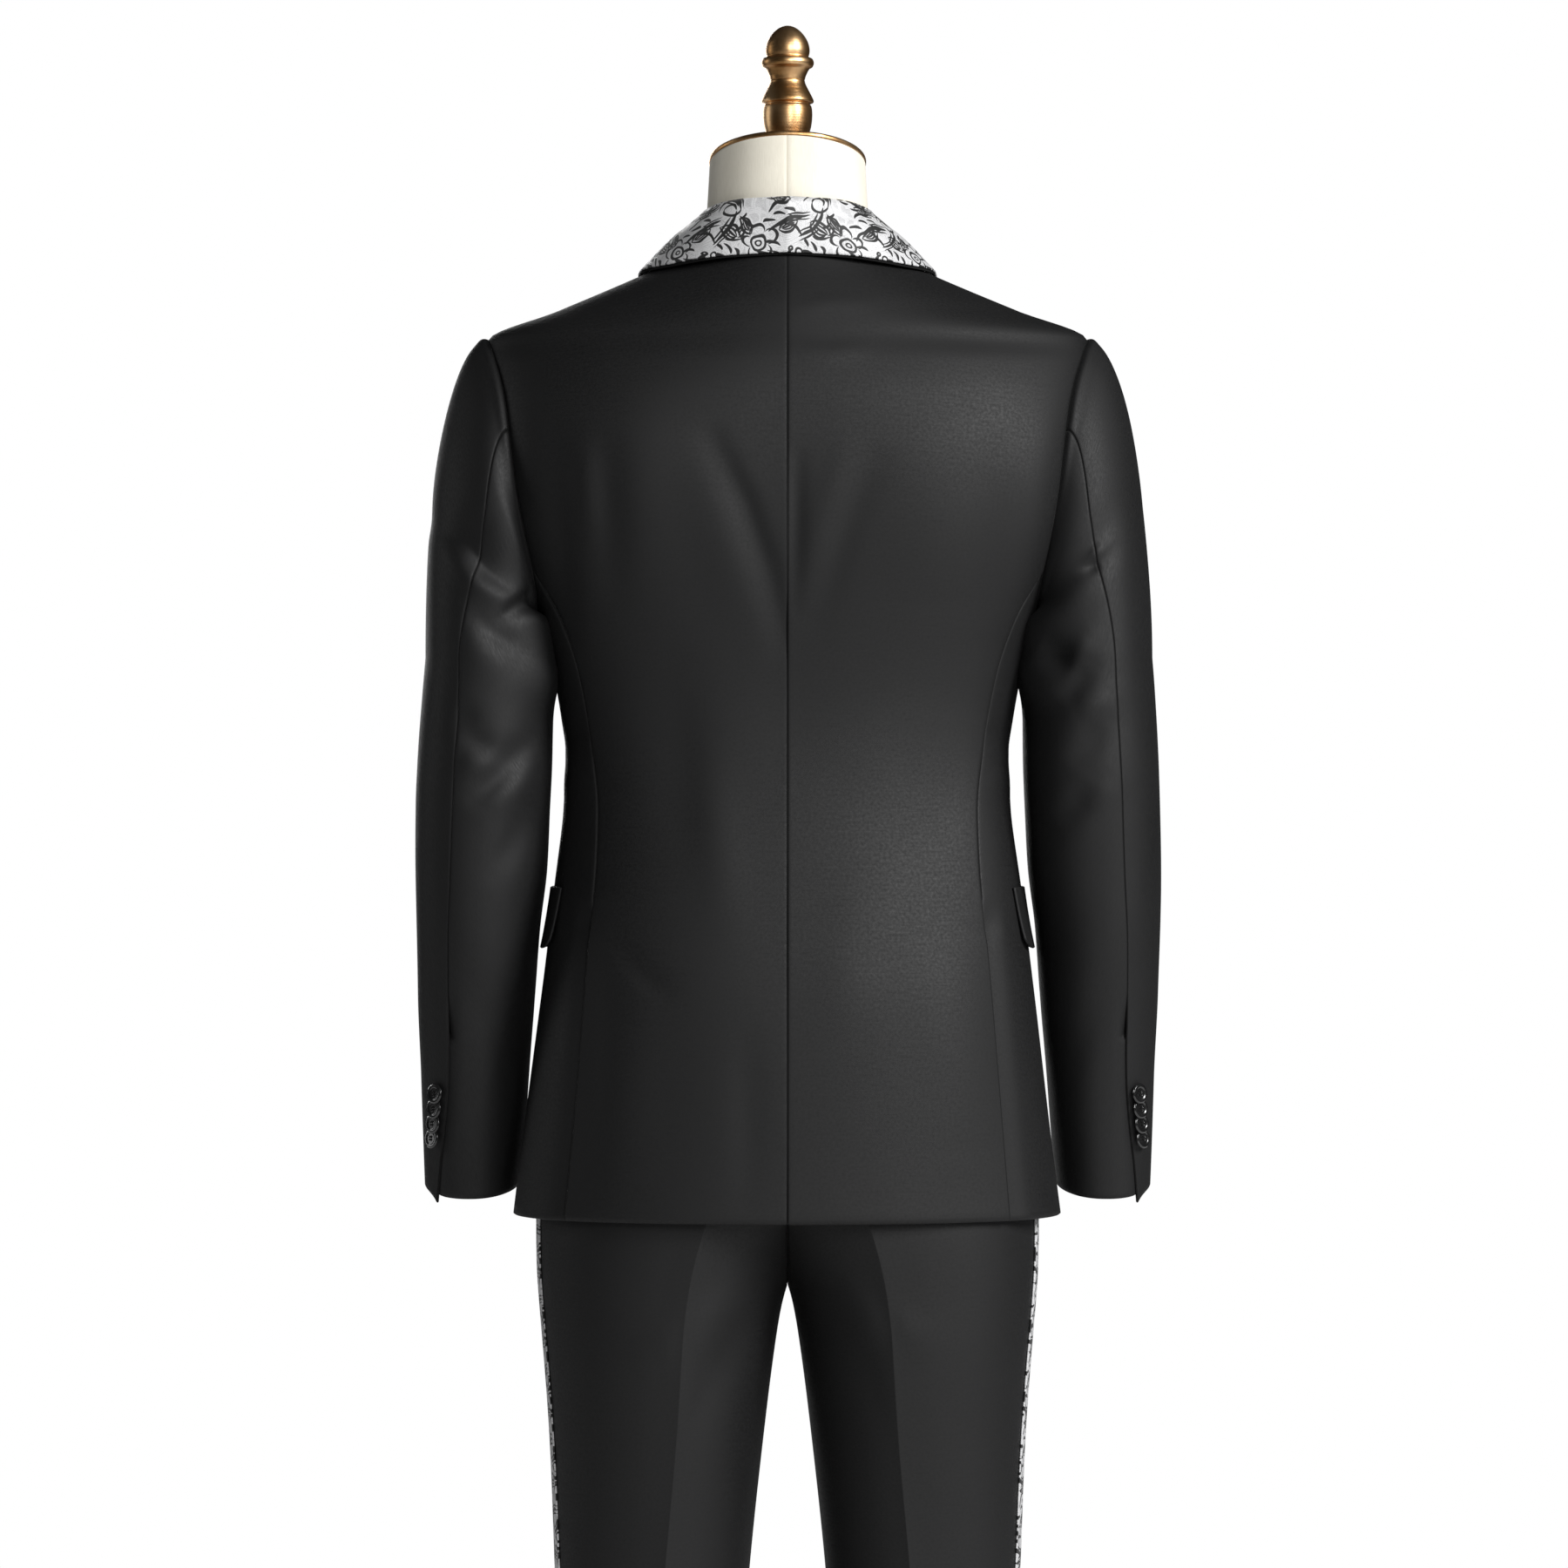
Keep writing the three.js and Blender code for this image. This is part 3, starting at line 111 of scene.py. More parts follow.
FRONT_EDGE = table("z x", [
    (849, 104), (853, 86), (862, 68), (880, 50), (912, 34), (960, 18), (1030, 2), (1110, -12),
    (1160, -17), (1180, -15), (1250, 6), (1350, 31), (1450, 52), (1499, 60), (1540, 68), (1560, 75),
])
LAPEL = table("step rollX rollZ edgeX edgeZ lift", [
    (0, 2, 1236, 12, 1240, 0.5), (0.12, 7, 1254, 40, 1258, 1.5), (0.34, 17, 1293, 76, 1298, 2.5),
    (0.6, 37, 1380, 114, 1384, 3), (0.82, 54, 1466, 118, 1452, 4), (1, 62, 1545, 108, 1512, 9),
])
COLLAR = [
    (0, 0, 63.8, 1599, 0, 69, 1559), (0.25, 33, 54.5, 1598.2, 46, 64, 1557),
    (0.5, 56, 31, 1596, 87, 42, 1553), (0.72, 63.6, 0, 1593, 110, 3, 1551),
    (0.87, 64, -25, 1577, 113, -33, 1541),
]
HIND_SEAM = table("step turn", [(1, 72), (1.4, 68.7), (1.7, 68), (1.78, 66.3), (1.86, 61.8), (2, 48)])

# The turned finial's outline, as radius and height
FINIAL = [
    (15, 1622), (16.1, 1652), (17.6, 1658), (18.4, 1664), (18.5, 1669), (18, 1673.2),
    (17, 1674.8), (17.2, 1675.6), (19.2, 1676.4), (19.6, 1677.6), (18.9, 1679.6), (17.2, 1683),
    (15, 1687.2), (13.4, 1690.6), (12.9, 1692.6), (12.6, 1693), (12.9, 1693.4), (13.6, 1696),
    (15.2, 1699.6), (16.8, 1702), (18.6, 1703), (19.6, 1705), (19.6, 1707), (18.6, 1709),
    (16.4, 1710), (15.7, 1710.8), (16.2, 1712.2), (16.6, 1715), (16.2, 1718.6), (14.9, 1722.4),
    (12.8, 1726), (10, 1729.3), (6.6, 1732), (3, 1733.5), (0.01, 1734),
]


# Small mathematics on arrays

def mix(a, b, t):
    return a + (b - a) * t


def smooth(at, start, end):
    t = np.clip((np.asarray(at, float) - start) / (end - start), 0, 1)
    return t * t * (3 - 2 * t)


def calmed(rows, reach, kept_above):
    """A table with its columns smoothed along z, so that light runs evenly over it; upper rows stay."""
    z = np.concatenate([np.arange(rows["z"][0], kept_above, 8), rows["z"][rows["z"] >= kept_above]])
    result = {"z": z}
    shifts = np.linspace(-2, 2, 17)
    weights = np.exp(-(shifts**2) / 2)
    for column in rows:
        if column != "z":
            around = [along(rows, column, z + reach * shift) for shift in shifts]
            even = np.tensordot(weights / weights.sum(), around, 1)
            result[column] = mix(even, along(rows, column, z), smooth(z, kept_above - 60, kept_above))
    return result


def signed_power(value, power):
    return np.sign(value) * np.abs(value) ** power


def along(rows, column, at, by="z"):
    """One column of a table on a smooth curve through its rows that never overshoots them."""
    x, y = rows[by], rows[column]
    secant = np.diff(y) / np.diff(x)
    slope = np.concatenate([secant[:1], np.zeros(len(x) - 2), secant[-1:]])
    before, after = secant[:-1], secant[1:]
    bends = before * after > 0
    slope[1:-1][bends] = 2 * before[bends] * after[bends] / (before + after)[bends]
    at = np.asarray(at, float)
    row = np.clip(np.searchsorted(x, at, side="right") - 1, 0, len(x) - 2)
    span = x[row + 1] - x[row]
    t = (at - x[row]) / span
    rise = mix(y[row], y[row + 1], 3 * t**2 - 2 * t**3)
    inside = rise + span * (slope[row] * (t**3 - 2 * t**2 + t) + slope[row + 1] * (t**3 - t**2))
    low = y[0] + slope[0] * (at - x[0])
    high = y[-1] + slope[-1] * (at - x[-1])
    return np.where(at < x[0], low, np.where(at > x[-1], high, inside))


# The jacket's body is smoothed over this height, up to where its shoulders begin
BODY = calmed(BODY, reach=22, kept_above=1480)


def width_at(ring, z, y):
    """Half width of a ring at a distance y from its middle."""
    power = along(ring, "power", z)
    depth = np.where(y >= 0, along(ring, "back", z), along(ring, "front", z))
    return along(ring, "half", z) * np.maximum(0, 1 - (np.abs(y) / depth) ** power) ** (1 / power)


def depth_at(ring, z, x, key):
    """How far a ring reaches behind or in front at a distance x from its middle."""
    power = along(ring, "power", z)
    inside = np.maximum(0, 1 - (np.abs(x) / along(ring, "half", z)) ** power)
    return along(ring, key, z) * inside ** (1 / power)


def points(x, y, z):
    return np.stack(np.broadcast_arrays(x, y, z), axis=-1).astype(float)


def ring_point(ring, angle, z):
    """A point of a ring, its angle turning from the back towards the left side."""
    angle, z = np.broadcast_arrays(np.radians(angle), np.asarray(z, float))
    power = along(ring, "power", z)
    reach = np.where(np.cos(angle) >= 0, along(ring, "back", z), along(ring, "front", z))
    across = np.abs(np.sin(angle)) / along(ring, "half", z)
    deep = np.abs(np.cos(angle)) / reach
    radius = (across**power + deep**power) ** (-1 / power)
    return points(radius * np.sin(angle), radius * np.cos(angle), z)


def unit(vectors):
    return vectors / np.maximum(np.linalg.norm(vectors, axis=-1, keepdims=True), 1e-9)


def ring_normal(ring, angle, z):
    """Outward normal of a ring's surface, from points a degree and 2 mm to either side."""
    after, before = ring_point(ring, angle + 1, z), ring_point(ring, angle - 1, z)
    above, below = ring_point(ring, angle, z + 2), ring_point(ring, angle, z - 2)
    return unit(np.cross(above - below, after - before))


def grid_normals(face):
    """Outward normals of a grid whose columns turn from back to left and whose rows rise."""
    return unit(np.cross(np.gradient(face, axis=0), np.gradient(face, axis=1)))


def lifted(face, height):
    return face + grid_normals(face) * np.asarray(height, float)[..., None]


def angle_of(point):
    return np.degrees(np.arctan2(point[..., 0], point[..., 1]))


def spread(start, end, pitch):
    """Evenly spaced values about a pitch apart."""
    return np.linspace(start, end, max(3, round(abs(end - start) / pitch) + 1))


def smooth_line(corners, count):
    """Points on a smooth curve through corners, along the last axis but one."""
    corners = np.asarray(corners, float)
    last = corners.shape[-2] - 1
    at = np.linspace(0, last, count)
    row = np.minimum(at.astype(int), last - 1)
    t = (at - row)[:, None]
    before, start, end, after = [corners[..., np.clip(row + k, 0, last), :] for k in (-1, 0, 1, 2)]
    leave, arrive = (end - before) / 2, (after - start) / 2
    curve = mix(start, end, 3 * t**2 - 2 * t**3)
    return curve + leave * (t**3 - 2 * t**2 + t) + arrive * (t**3 - t**2)


# Folds: soft ridges and troughs along short lines, listed as distance from the middle and height

def fold_height(x, z, folds):
    """Sum of folds. Each has a line of (x, z) corners, its width on either side, and its height."""
    total = np.zeros(np.broadcast(x, z).shape)
    for line, above, below, height in folds:
        nearest = np.full(total.shape, 1e9)
        profile = np.zeros(total.shape)
        lengths = [math.dist(a, b) for a, b in zip(line, line[1:])]
        run, rise = line[-1][0] - line[0][0], line[-1][1] - line[0][1]
        hand = np.sign(run if abs(run) >= abs(rise) else -rise)
        passed = 0
        for (ax, az), (bx, bz), length in zip(line, line[1:], lengths):
            dx, dz = (bx - ax) / length, (bz - az) / length
            t = np.clip((x - ax) * dx + (z - az) * dz, 0, length)
            off_x, off_z = x - ax - dx * t, z - az - dz * t
            away = np.hypot(off_x, off_z)
            side = hand * (off_z * dx - off_x * dz) / np.maximum(away, 0.01)
            width = mix(below, above, 0.5 + 0.5 * side)
            place = (passed + t) / sum(lengths)
            taper = np.sin(np.pi * (0.12 + 0.76 * place))
            value = height * taper * np.exp(-((away / width) ** 2))
            closer = away < nearest - 0.001
            nearest = np.where(closer, away, nearest)
            profile = np.where(closer, value, profile)
            passed += length
        total = total + profile
    return total


def ripple(x, y, z, size, seed):
    """A slow, uneven wave over space, between about -1 and 1, that gives the same result each run."""
    draw = np.random.default_rng(seed)
    total = 0
    for _ in range(5):
        direction = unit(draw.normal(size=3) * (1, 1, 0.6))
        turn = 2 * np.pi * draw.uniform(0.6, 1.5) / size
        wave = direction[0] * x + direction[1] * y + direction[2] * z
        total = total + np.sin(wave * turn + draw.uniform(0, 6.28))
    return total / 3


# Pieces of cloth from grids

def mesh_object(name, vertices, faces, finish, nodes=()):
    """A new piece in metres that rides on the frame, stands for its CAD nodes and has one finish."""
    mesh = bpy.data.meshes.new(name)
    mesh.from_pydata((np.asarray(vertices) * METRE).tolist(), [], faces)
    mesh.materials.append(finish)
    mesh.polygons.foreach_set("use_smooth", [True] * len(mesh.polygons))
    mesh.update()
    piece = bpy.data.objects.new(name, mesh)
    bpy.context.scene.collection.objects.link(piece)
    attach(piece, "root")
    if nodes:
        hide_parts(*nodes)
    return piece


def set_attribute(mesh, name, values):
    """A vector for each vertex, which the materials read by its name."""
    layer = mesh.attributes.new(name, "FLOAT_VECTOR", "POINT")
    layer.data.foreach_set("vector", np.asarray(values, np.float32).ravel())


# The seam distance beyond which cloth is plain, without painted seam shade, and how far an edge bulges as a
# share of the thickness
NO_SEAM = 9.0
ROUNDING = 0.3


def arc_lengths(face, axis):
    """How far each point lies along its grid line."""
    steps = np.linalg.norm(np.diff(face, axis=axis), axis=-1)
    zero = np.zeros_like(np.take(steps, [0], axis=axis))
    return np.concatenate([zero, np.cumsum(steps, axis=axis)], axis=axis)


def cloth(name, face, thickness, finish, node,
          mirror=False, edge=1.0, seam=NO_SEAM):
    """A thin shell with rounded edges whose outer face is the grid.

    Its attribute "weave" holds the way across, the way along and the distance to the nearest seam, in mm;
    the wool paints shade along seams from that distance.
    """
    rows, columns = face.shape[:2]
    seam = np.broadcast_to(np.clip(seam, 0, NO_SEAM), (rows, columns))
    if mirror:
        face, seam = face[:, ::-1] * (-1, 1, 1), seam[:, ::-1]
    normals = grid_normals(face)
    inner = face - normals * thickness
    across, length = arc_lengths(face, 1), arc_lengths(face, 0)
    across = across - across[:, [columns // 2]]
    ring = [(0, j) for j in range(columns)]
    ring += [(i, columns - 1) for i in range(1, rows)]
    ring += [(rows - 1, j) for j in range(columns - 2, -1, -1)]
    ring += [(i, 0) for i in range(rows - 2, 0, -1)]
    ring = np.array(ring)
    within = np.clip(ring, 1, [rows - 2, columns - 2])
    outward = unit(face[tuple(ring.T)] - face[tuple(within.T)])
    middle = (face + inner)[tuple(ring.T)] / 2 + outward * thickness * ROUNDING * edge
    vertices = np.concatenate([face.reshape(-1, 3), inner.reshape(-1, 3), middle])
    index = np.arange(rows * columns).reshape(rows, columns)
    a, b, c, d = (index[:-1, :-1], index[:-1, 1:], index[1:, 1:], index[1:, :-1])
    outer_faces = np.stack([a, d, c, b], axis=-1).reshape(-1, 4)
    if np.dot(np.cross(face[1, 0] - face[0, 0], face[0, 1] - face[0, 0]), normals[0, 0]) < 0:
        outer_faces = outer_faces[:, ::-1]
    count = rows * columns
    inner_faces = outer_faces[:, ::-1] + count
    here = index[tuple(ring.T)]
    there = np.roll(here, -1)
    rim = np.arange(len(ring)) + 2 * count
    next_rim = np.roll(rim, -1)
    rims = np.concatenate([
        np.stack([here, rim, next_rim, there], axis=-1),
        np.stack([rim, here + count, there + count, next_rim], axis=-1),
    ])
    faces = np.concatenate([outer_faces, inner_faces, rims[:, ::-1]]).tolist()
    piece = mesh_object(name, vertices, faces, finish, [node])
    weave = np.stack([across, length, seam], axis=-1).reshape(-1, 3)
    set_attribute(piece.data, "weave", np.concatenate([weave, weave, weave[here]]))
    return piece


def tube_faces(count, around):
    """Quads between rings of points that close on themselves."""
    here = np.arange(count * around).reshape(count, around)
    beside = np.roll(here, -1, axis=1)
    return np.stack([here[:-1], beside[:-1], beside[1:], here[1:]], axis=-1).reshape(-1, 4).tolist()


def closed_tube(name, rings, finish, node):
    """Rings of points joined into one piece with a flat cap at either end."""
    count, around = rings.shape[:2]
    faces = tube_faces(count, around)
    faces.append(list(range(around - 1, -1, -1)))
    faces.append(list(range((count - 1) * around, count * around)))
    piece = mesh_object(name, rings.reshape(-1, 3), faces, finish, [node])
    for cap in (-1, -2):
        piece.data.polygons[cap].use_smooth = False
    return piece


# Shader nodes

class Wire:
    """One socket of a material. Arithmetic on it adds Math nodes."""

    def __init__(self, tree, socket=None):
        self.tree = tree
        self.socket = socket

    def node(self, kind, settings, inputs, output=0):
        made = self.tree.nodes.new("ShaderNode" + kind)
        for name, value in settings.items():
            if name == "stops":
                ramp = made.color_ramp
                while len(ramp.elements) < len(value):
                    ramp.elements.new(0.5)
                for stop, (place, colour) in zip(ramp.elements, value):
                    stop.position, stop.color = place, (*colour, 1)
            else:
                setattr(made, name, value)
        for name, value in inputs.items():
            if isinstance(value, Wire):
                self.tree.links.new(value.socket, made.inputs[name])
            else:
                made.inputs[name].default_value = value
        return Wire(self.tree, made.outputs[output])

    def math(self, operation, *others):
        return self.node("Math", {"operation": operation}, dict(enumerate((self, *others))))

    def vector(self, operation, *others, output=0):
        return self.node("VectorMath", {"operation": operation}, dict(enumerate((self, *others))), output)

    def __add__(self, other):
        return self.math("ADD", other)

    def __sub__(self, other):
        return self.math("SUBTRACT", other)

    def __rsub__(self, other):
        return self.node("Math", {"operation": "SUBTRACT"}, {0: other, 1: self})

    def __mul__(self, other):
        return self.math("MULTIPLY", other)

    __radd__ = __add__
    __rmul__ = __mul__

    def __truediv__(self, other):
        return self.math("DIVIDE", other)

    def __abs__(self):
        return self.math("ABSOLUTE")

    def step(self, start, end):
        """0 before start and 1 after end, with a soft change between them."""
        inputs = {"Value": self, "From Min": start, "From Max": end}
        return self.node("MapRange", {"interpolation_type": "SMOOTHSTEP"}, inputs)


def new_material(name, **values):
    """A material with its uniform values set on the shader's own sockets."""
    material = bpy.data.materials.new(name)
    material.use_nodes = True
    tree = material.node_tree
    shader = tree.nodes["Principled BSDF"]
    for socket, value in values.items():
        shader.inputs[socket.replace("_", " ")].default_value = value
    return material, Wire(tree), shader


def connect(paint, shader, **links):
    for name, wire in links.items():
        paint.tree.links.new(wire.socket, shader.inputs[name.replace("_", " ")])


def blend_colour(paint, factor, first, second):
    inputs = {0: factor, 6: first, 7: second}
    return paint.node("Mix", {"data_type": "RGBA"}, inputs, 2)


def grey(value, blue=0.0):
    return (value, value, value * (1 + blue), 1)


def noise(paint, place, scale, detail=3.0):
    return paint.node("TexNoise", {}, {"Vector": place, "Scale": scale, "Detail": detail})


def weave_place(paint):
    return paint.node("Attribute", {"attribute_name": "weave"}, {}, 1)


def axis(place, number):
    return place.node("SeparateXYZ", {}, {0: place}, number)


def bump(paint, height, strength, distance):
    return paint.node("Bump", {}, {"Height": height, "Strength": strength, "Distance": distance * METRE})


# Spacing of the threads in each cloth
WOOL_PITCH, SATIN_PITCH, LINEN_PITCH = 0.95, 0.8, 0.75


def twill(place, pitch):
    """Fine diagonal ribs and the threads across them, from 0 to 1."""
    turn = 2 * math.pi / pitch
    x, y = axis(place, 0), axis(place, 1)
    ribs = ((x + y * 1.35) * turn).math("SINE")
    threads = ((x - y) * (turn * 1.9)).math("SINE")
    return ribs * 0.35 + threads * 0.15 + 0.5


def make_wool():
    """Black worsted with a fine twill, faint unevenness in the dye and a slight satin sheen, with painted
    shade along its seams.
    """
    material, paint, shader = new_material("wool_worsted", Specular_IOR_Level=0.4)
    place = weave_place(paint)
    ribs = twill(place, WOOL_PITCH)
    slub = noise(paint, place.vector("MULTIPLY", (0.05, 0.9, 0)), 1.0, 4)
    grain = noise(paint, place, 0.45, 4)
    cloud = noise(paint, place, 0.012, 2)
    # Painted shade: within about a millimetre of a seam the colour turns near-black, standing in for the
    # shadow in the seam's groove
    clear_of_seam_shade = axis(place, 2).step(0.25, 1.15)
    tone = 0.72 + ribs * 0.24 + slub * 0.2 + cloud * 0.16
    dyed = blend_colour(paint, tone.step(0.6, 1.35), grey(0.0009, 0.05), grey(0.0024, 0.1))
    colour = blend_colour(paint, clear_of_seam_shade, grey(0.0005), dyed)
    worn = grain * 0.34 + slub * 0.12 + cloud * 0.1
    connect(paint, shader, Base_Color=colour, Roughness=0.79 - clear_of_seam_shade * 0.42 + worn,
            Normal=bump(paint, ribs + slub * 0.8 + grain * 1.2, 0.22, 0.09))
    return material


def make_felt():
    """Dull black under collar felt with short matted fibres."""
    material, paint, shader = new_material("collar_felt", Roughness=0.95, Specular_IOR_Level=0.15)
    place = weave_place(paint)
    fibres = noise(paint, place, 1.8, 6)
    connect(paint, shader, Base_Color=blend_colour(paint, fibres, grey(0.004), grey(0.011)),
            Normal=bump(paint, fibres, 0.5, 0.3))
    return material


# How much bolder the strokes are drawn than their stated widths
INK_WEIGHT = 1.28


def beyond(x, y, facing, distance):
    """The point at a distance from (x, y) in a direction in degrees."""
    turn = math.radians(facing)
    return x + distance * math.cos(turn), y + distance * math.sin(turn)


class Scrollwork:
    """Tapered arcs drawn on cloth. Its value is above 0 inside a stroke."""

    def __init__(self, place):
        self.place = place
        self.value = None

    def add(self, value):
        self.value = value if self.value is None else self.value.math("MAXIMUM", value)

    def arc(self, x, y, radius, facing, half, width):
        """An arc round (x, y) that faces a direction and thins towards its ends, in degrees and mm."""
        offset = self.place.vector("SUBTRACT", (x, y, 0))
        away = offset.vector("LENGTH", output=1)
        line = abs(away - radius)
        if half >= 180:
            self.add(width * INK_WEIGHT - line)
            return
        turn = math.radians(facing)
        limit = math.cos(math.radians(half))
        share = offset.vector("DOT_PRODUCT", (math.cos(turn), math.sin(turn), 0), output=1) / away
        body = ((share - limit) * (1 / (1 - limit))).math("MAXIMUM", 0).math("POWER", 0.55)
        self.add(body * (width * INK_WEIGHT) - line)

    def leaf(self, x, y, length, width, facing, stroke):
        """Two arcs that meet in points, with a thin vein between them."""
        radius = (length**2 / 4 + width**2 / 4) / width
        half = math.degrees(math.asin(min(1, length / 2 / radius)))
        for side in (facing + 90, facing - 90):
            self.arc(*beyond(x, y, side, width / 2 - radius), radius, side, half * 1.1, stroke)
        vein = 2.4 * length
        self.arc(*beyond(x, y, facing + 90, -vein), vein, facing + 90, 8, stroke * 0.8)

    def frond(self, x, y, length, width, facing, stroke):
        """A leaf inside a leaf."""
        self.leaf(x, y, length, width, facing, stroke)
        self.leaf(x, y, length * 0.62, width * 0.5, facing, stroke * 0.65)

    def sweep(self, x, y, heading, radius, length, width, hand=1):
        """A stroke that leaves (x, y) in one direction and bends to one side."""
        half = math.degrees(length / 2 / radius)
        middle = beyond(x, y, heading + 90 * hand, radius)
        self.arc(*middle, radius, heading - 90 * hand + hand * half, half, width)

    def stem(self, x, y, heading, radius, length, width, hand=1):
        """A bold stroke with a thin one on either side, and commas that leave its outer side."""
        self.sweep(x, y, heading, radius, length, width, hand)
        inward = heading + 90 * hand
        for shift, share, weight in ((2.7, 0.72, 0.5), (-2.5, 0.55, 0.45)):
            start = beyond(x, y, inward, shift)
            self.sweep(*start, heading, radius - shift * 1.4, length * share, width * weight, hand)
        middle = beyond(x, y, inward, radius)
        for share in (0.3, 0.52, 0.74):
            bent = hand * math.degrees(length * share / radius)
            start = beyond(*middle, heading - 90 * hand + bent, radius + 3.4)
            self.sweep(*start, heading + bent - 62 * hand, 6.5, 8, width * 0.72, hand)

    def curl(self, x, y, radius, facing, stroke):
        """A scroll: half circles that shrink as they turn in."""
        for _ in range(3):
            self.arc(x, y, radius, facing, 98, stroke)
            shrink = radius * 0.3
            x, y = beyond(x, y, facing + 90, shrink)
            radius -= shrink
            facing += 180

    def flower(self, x, y, size, petals, stroke):
        """Rings round an eye, with petals round them."""
        self.arc(x, y, size * 0.16, 0, 180, stroke * 0.7)
        self.arc(x, y, size * 0.44, 0, 180, stroke)
        for k in range(petals):
            facing = 360 * k / petals + 12
            self.arc(*beyond(x, y, facing, size * 0.64), size * 0.36, facing, 112, stroke)


# The repeat of the brocade's pattern, in mm
TILE = (58.0, 46.0)


def tiled(place, shift_x, shift_y):
    """Places within one tile, its middle at (0, 0)."""
    moved = place.vector("ADD", (shift_x, shift_y, 0))
    whole = moved.vector("DIVIDE", (*TILE, 1)).vector("FRACTION").vector("SUBTRACT", (0.5, 0.5, 0))
    return whole.vector("MULTIPLY", (*TILE, 0))


def make_brocade():
    """Silver-grey satin with black scrolling stems, leaves and ring-eyed flowers."""
    material, paint, shader = new_material(
        "silver_brocade", Roughness=0.42, Specular_IOR_Level=0.5, Sheen_Weight=0.1
    )
    place = weave_place(paint)
    wobble = paint.node("TexNoise", {}, {"Vector": place, "Scale": 0.055, "Detail": 1.0}, 1)
    shifted = wobble.vector("SUBTRACT", (0.5, 0.5, 0.5)).vector("SCALE", (0, 0, 0), (0, 0, 0), 8.0)
    drawn = place.vector("SCALE", (0, 0, 0), (0, 0, 0), 0.88).vector("ADD", shifted)
    blooms = Scrollwork(tiled(drawn, 11, 17))
    blooms.flower(1, 1, 11.5, 5, 0.72)
    blooms.frond(19, 9, 16, 8.4, 38, 0.75)
    blooms.frond(-17, 11, 14, 7.4, 152, 0.75)
    blooms.stem(-29, -10, -14, 38, 34, 1.3)
    blooms.stem(14, -16, 62, 20, 22, 1.1, -1)
    blooms.sweep(-27, 3, 70, 16, 18, 0.9, -1)
    stems = Scrollwork(tiled(drawn, 11 + TILE[0] / 2, 17 + TILE[1] / 2))
    stems.curl(-8, 5, 8.6, 100, 0.95)
    stems.arc(-8, 5, 10.8, 118, 62, 0.6)
    stems.stem(-4, -4, 6, 30, 32, 1.25, -1)
    stems.frond(15, 8, 14, 7, 14, 0.7)
    stems.frond(-20, -10, 13, 6.6, 232, 0.7)
    stems.sweep(-16, -3, 250, 12, 14, 1.0, -1)
    stems.stem(4, -20, 160, 26, 30, 1.1, -1)
    stems.sweep(24, -2, 110, 12, 15, 1.0)
    stems.arc(3, 17, 2.4, 0, 180, 0.6)
    stems.arc(9, 19.5, 1.3, 0, 180, 0.6)
    buds = Scrollwork(tiled(drawn, 11 + TILE[0] / 4, 17 + TILE[1] / 4))
    buds.sweep(-3, -4, 75, 12, 13, 1.1)
    buds.sweep(0, -5, 68, 12, 9, 0.6)
    buds.leaf(27, 21, 10, 5, -60, 0.6)
    buds.sweep(11, 12, 150, 8, 11, 0.9)
    buds.sweep(-13, -16, -30, 8, 11, 0.9)
    stroke = blooms.value.math("MAXIMUM", stems.value).math("MAXIMUM", buds.value)
    ink = stroke.step(-0.2, 0.22)
    halo = stroke.step(-1.5, -0.2) * (1 - ink)
    shading = noise(paint, drawn, 0.05, 2).step(0.45, 0.65)
    satin = twill(place, SATIN_PITCH)
    speck = noise(paint, place, 1.4, 4)
    tone = satin * 0.2 + speck * 0.75 + halo * 0.3 - shading * 0.14
    ground = blend_colour(paint, tone.step(-0.1, 0.9), grey(0.27, 0.01), grey(0.66, 0.01))
    thread = blend_colour(paint, satin, grey(0.002), grey(0.01))
    colour = blend_colour(paint, ink, ground, thread)
    connect(paint, shader, Base_Color=colour, Roughness=0.36 + ink * 0.2 + speck * 0.1,
            Normal=bump(paint, satin * 0.35 - ink * 1.2 + speck * 0.3, 0.5, 0.16))
    return material


def make_button():
    """Polished black with faint swirls."""
    material, paint, shader = new_material(
        "polished_button", Roughness=0.2, Specular_IOR_Level=0.5, Coat_Weight=0.4, Coat_Roughness=0.08
    )
    place = paint.node("TexCoord", {}, {}, 3)
    swirl = noise(paint, place, 160, 3)
    connect(paint, shader, Base_Color=blend_colour(paint, swirl, grey(0.004), grey(0.012)),
            Roughness=0.14 + swirl * 0.16, Normal=bump(paint, swirl, 0.1, 0.05))
    return material


def make_linen():
    """Cream cover cloth: plain weave with uneven threads and a little soiling."""
    material, paint, shader = new_material(
        "form_linen", Roughness=0.85, Specular_IOR_Level=0.2, Sheen_Weight=0.15
    )
    place = weave_place(paint)
    turn = 2 * math.pi / LINEN_PITCH
    threads = (axis(place, 0) * turn).math("SINE") * (axis(place, 1) * turn).math("SINE")
    slub = noise(paint, place.vector("MULTIPLY", (1, 0.12, 1)), 1.1, 3)
    stain = noise(paint, place, 0.03, 3)
    seam = axis(place, 2).step(0.2, 1.2)
    tone = 0.35 + threads * 0.12 + slub * 0.45 + stain * 0.3
    cover = blend_colour(paint, tone.step(0.2, 1.1), (0.64, 0.595, 0.49, 1), (0.85, 0.81, 0.7, 1))
    colour = blend_colour(paint, seam, (0.62, 0.57, 0.47, 1), cover)
    connect(paint, shader, Base_Color=colour, Normal=bump(paint, threads * 0.4 + slub, 0.35, 0.16))
    return material


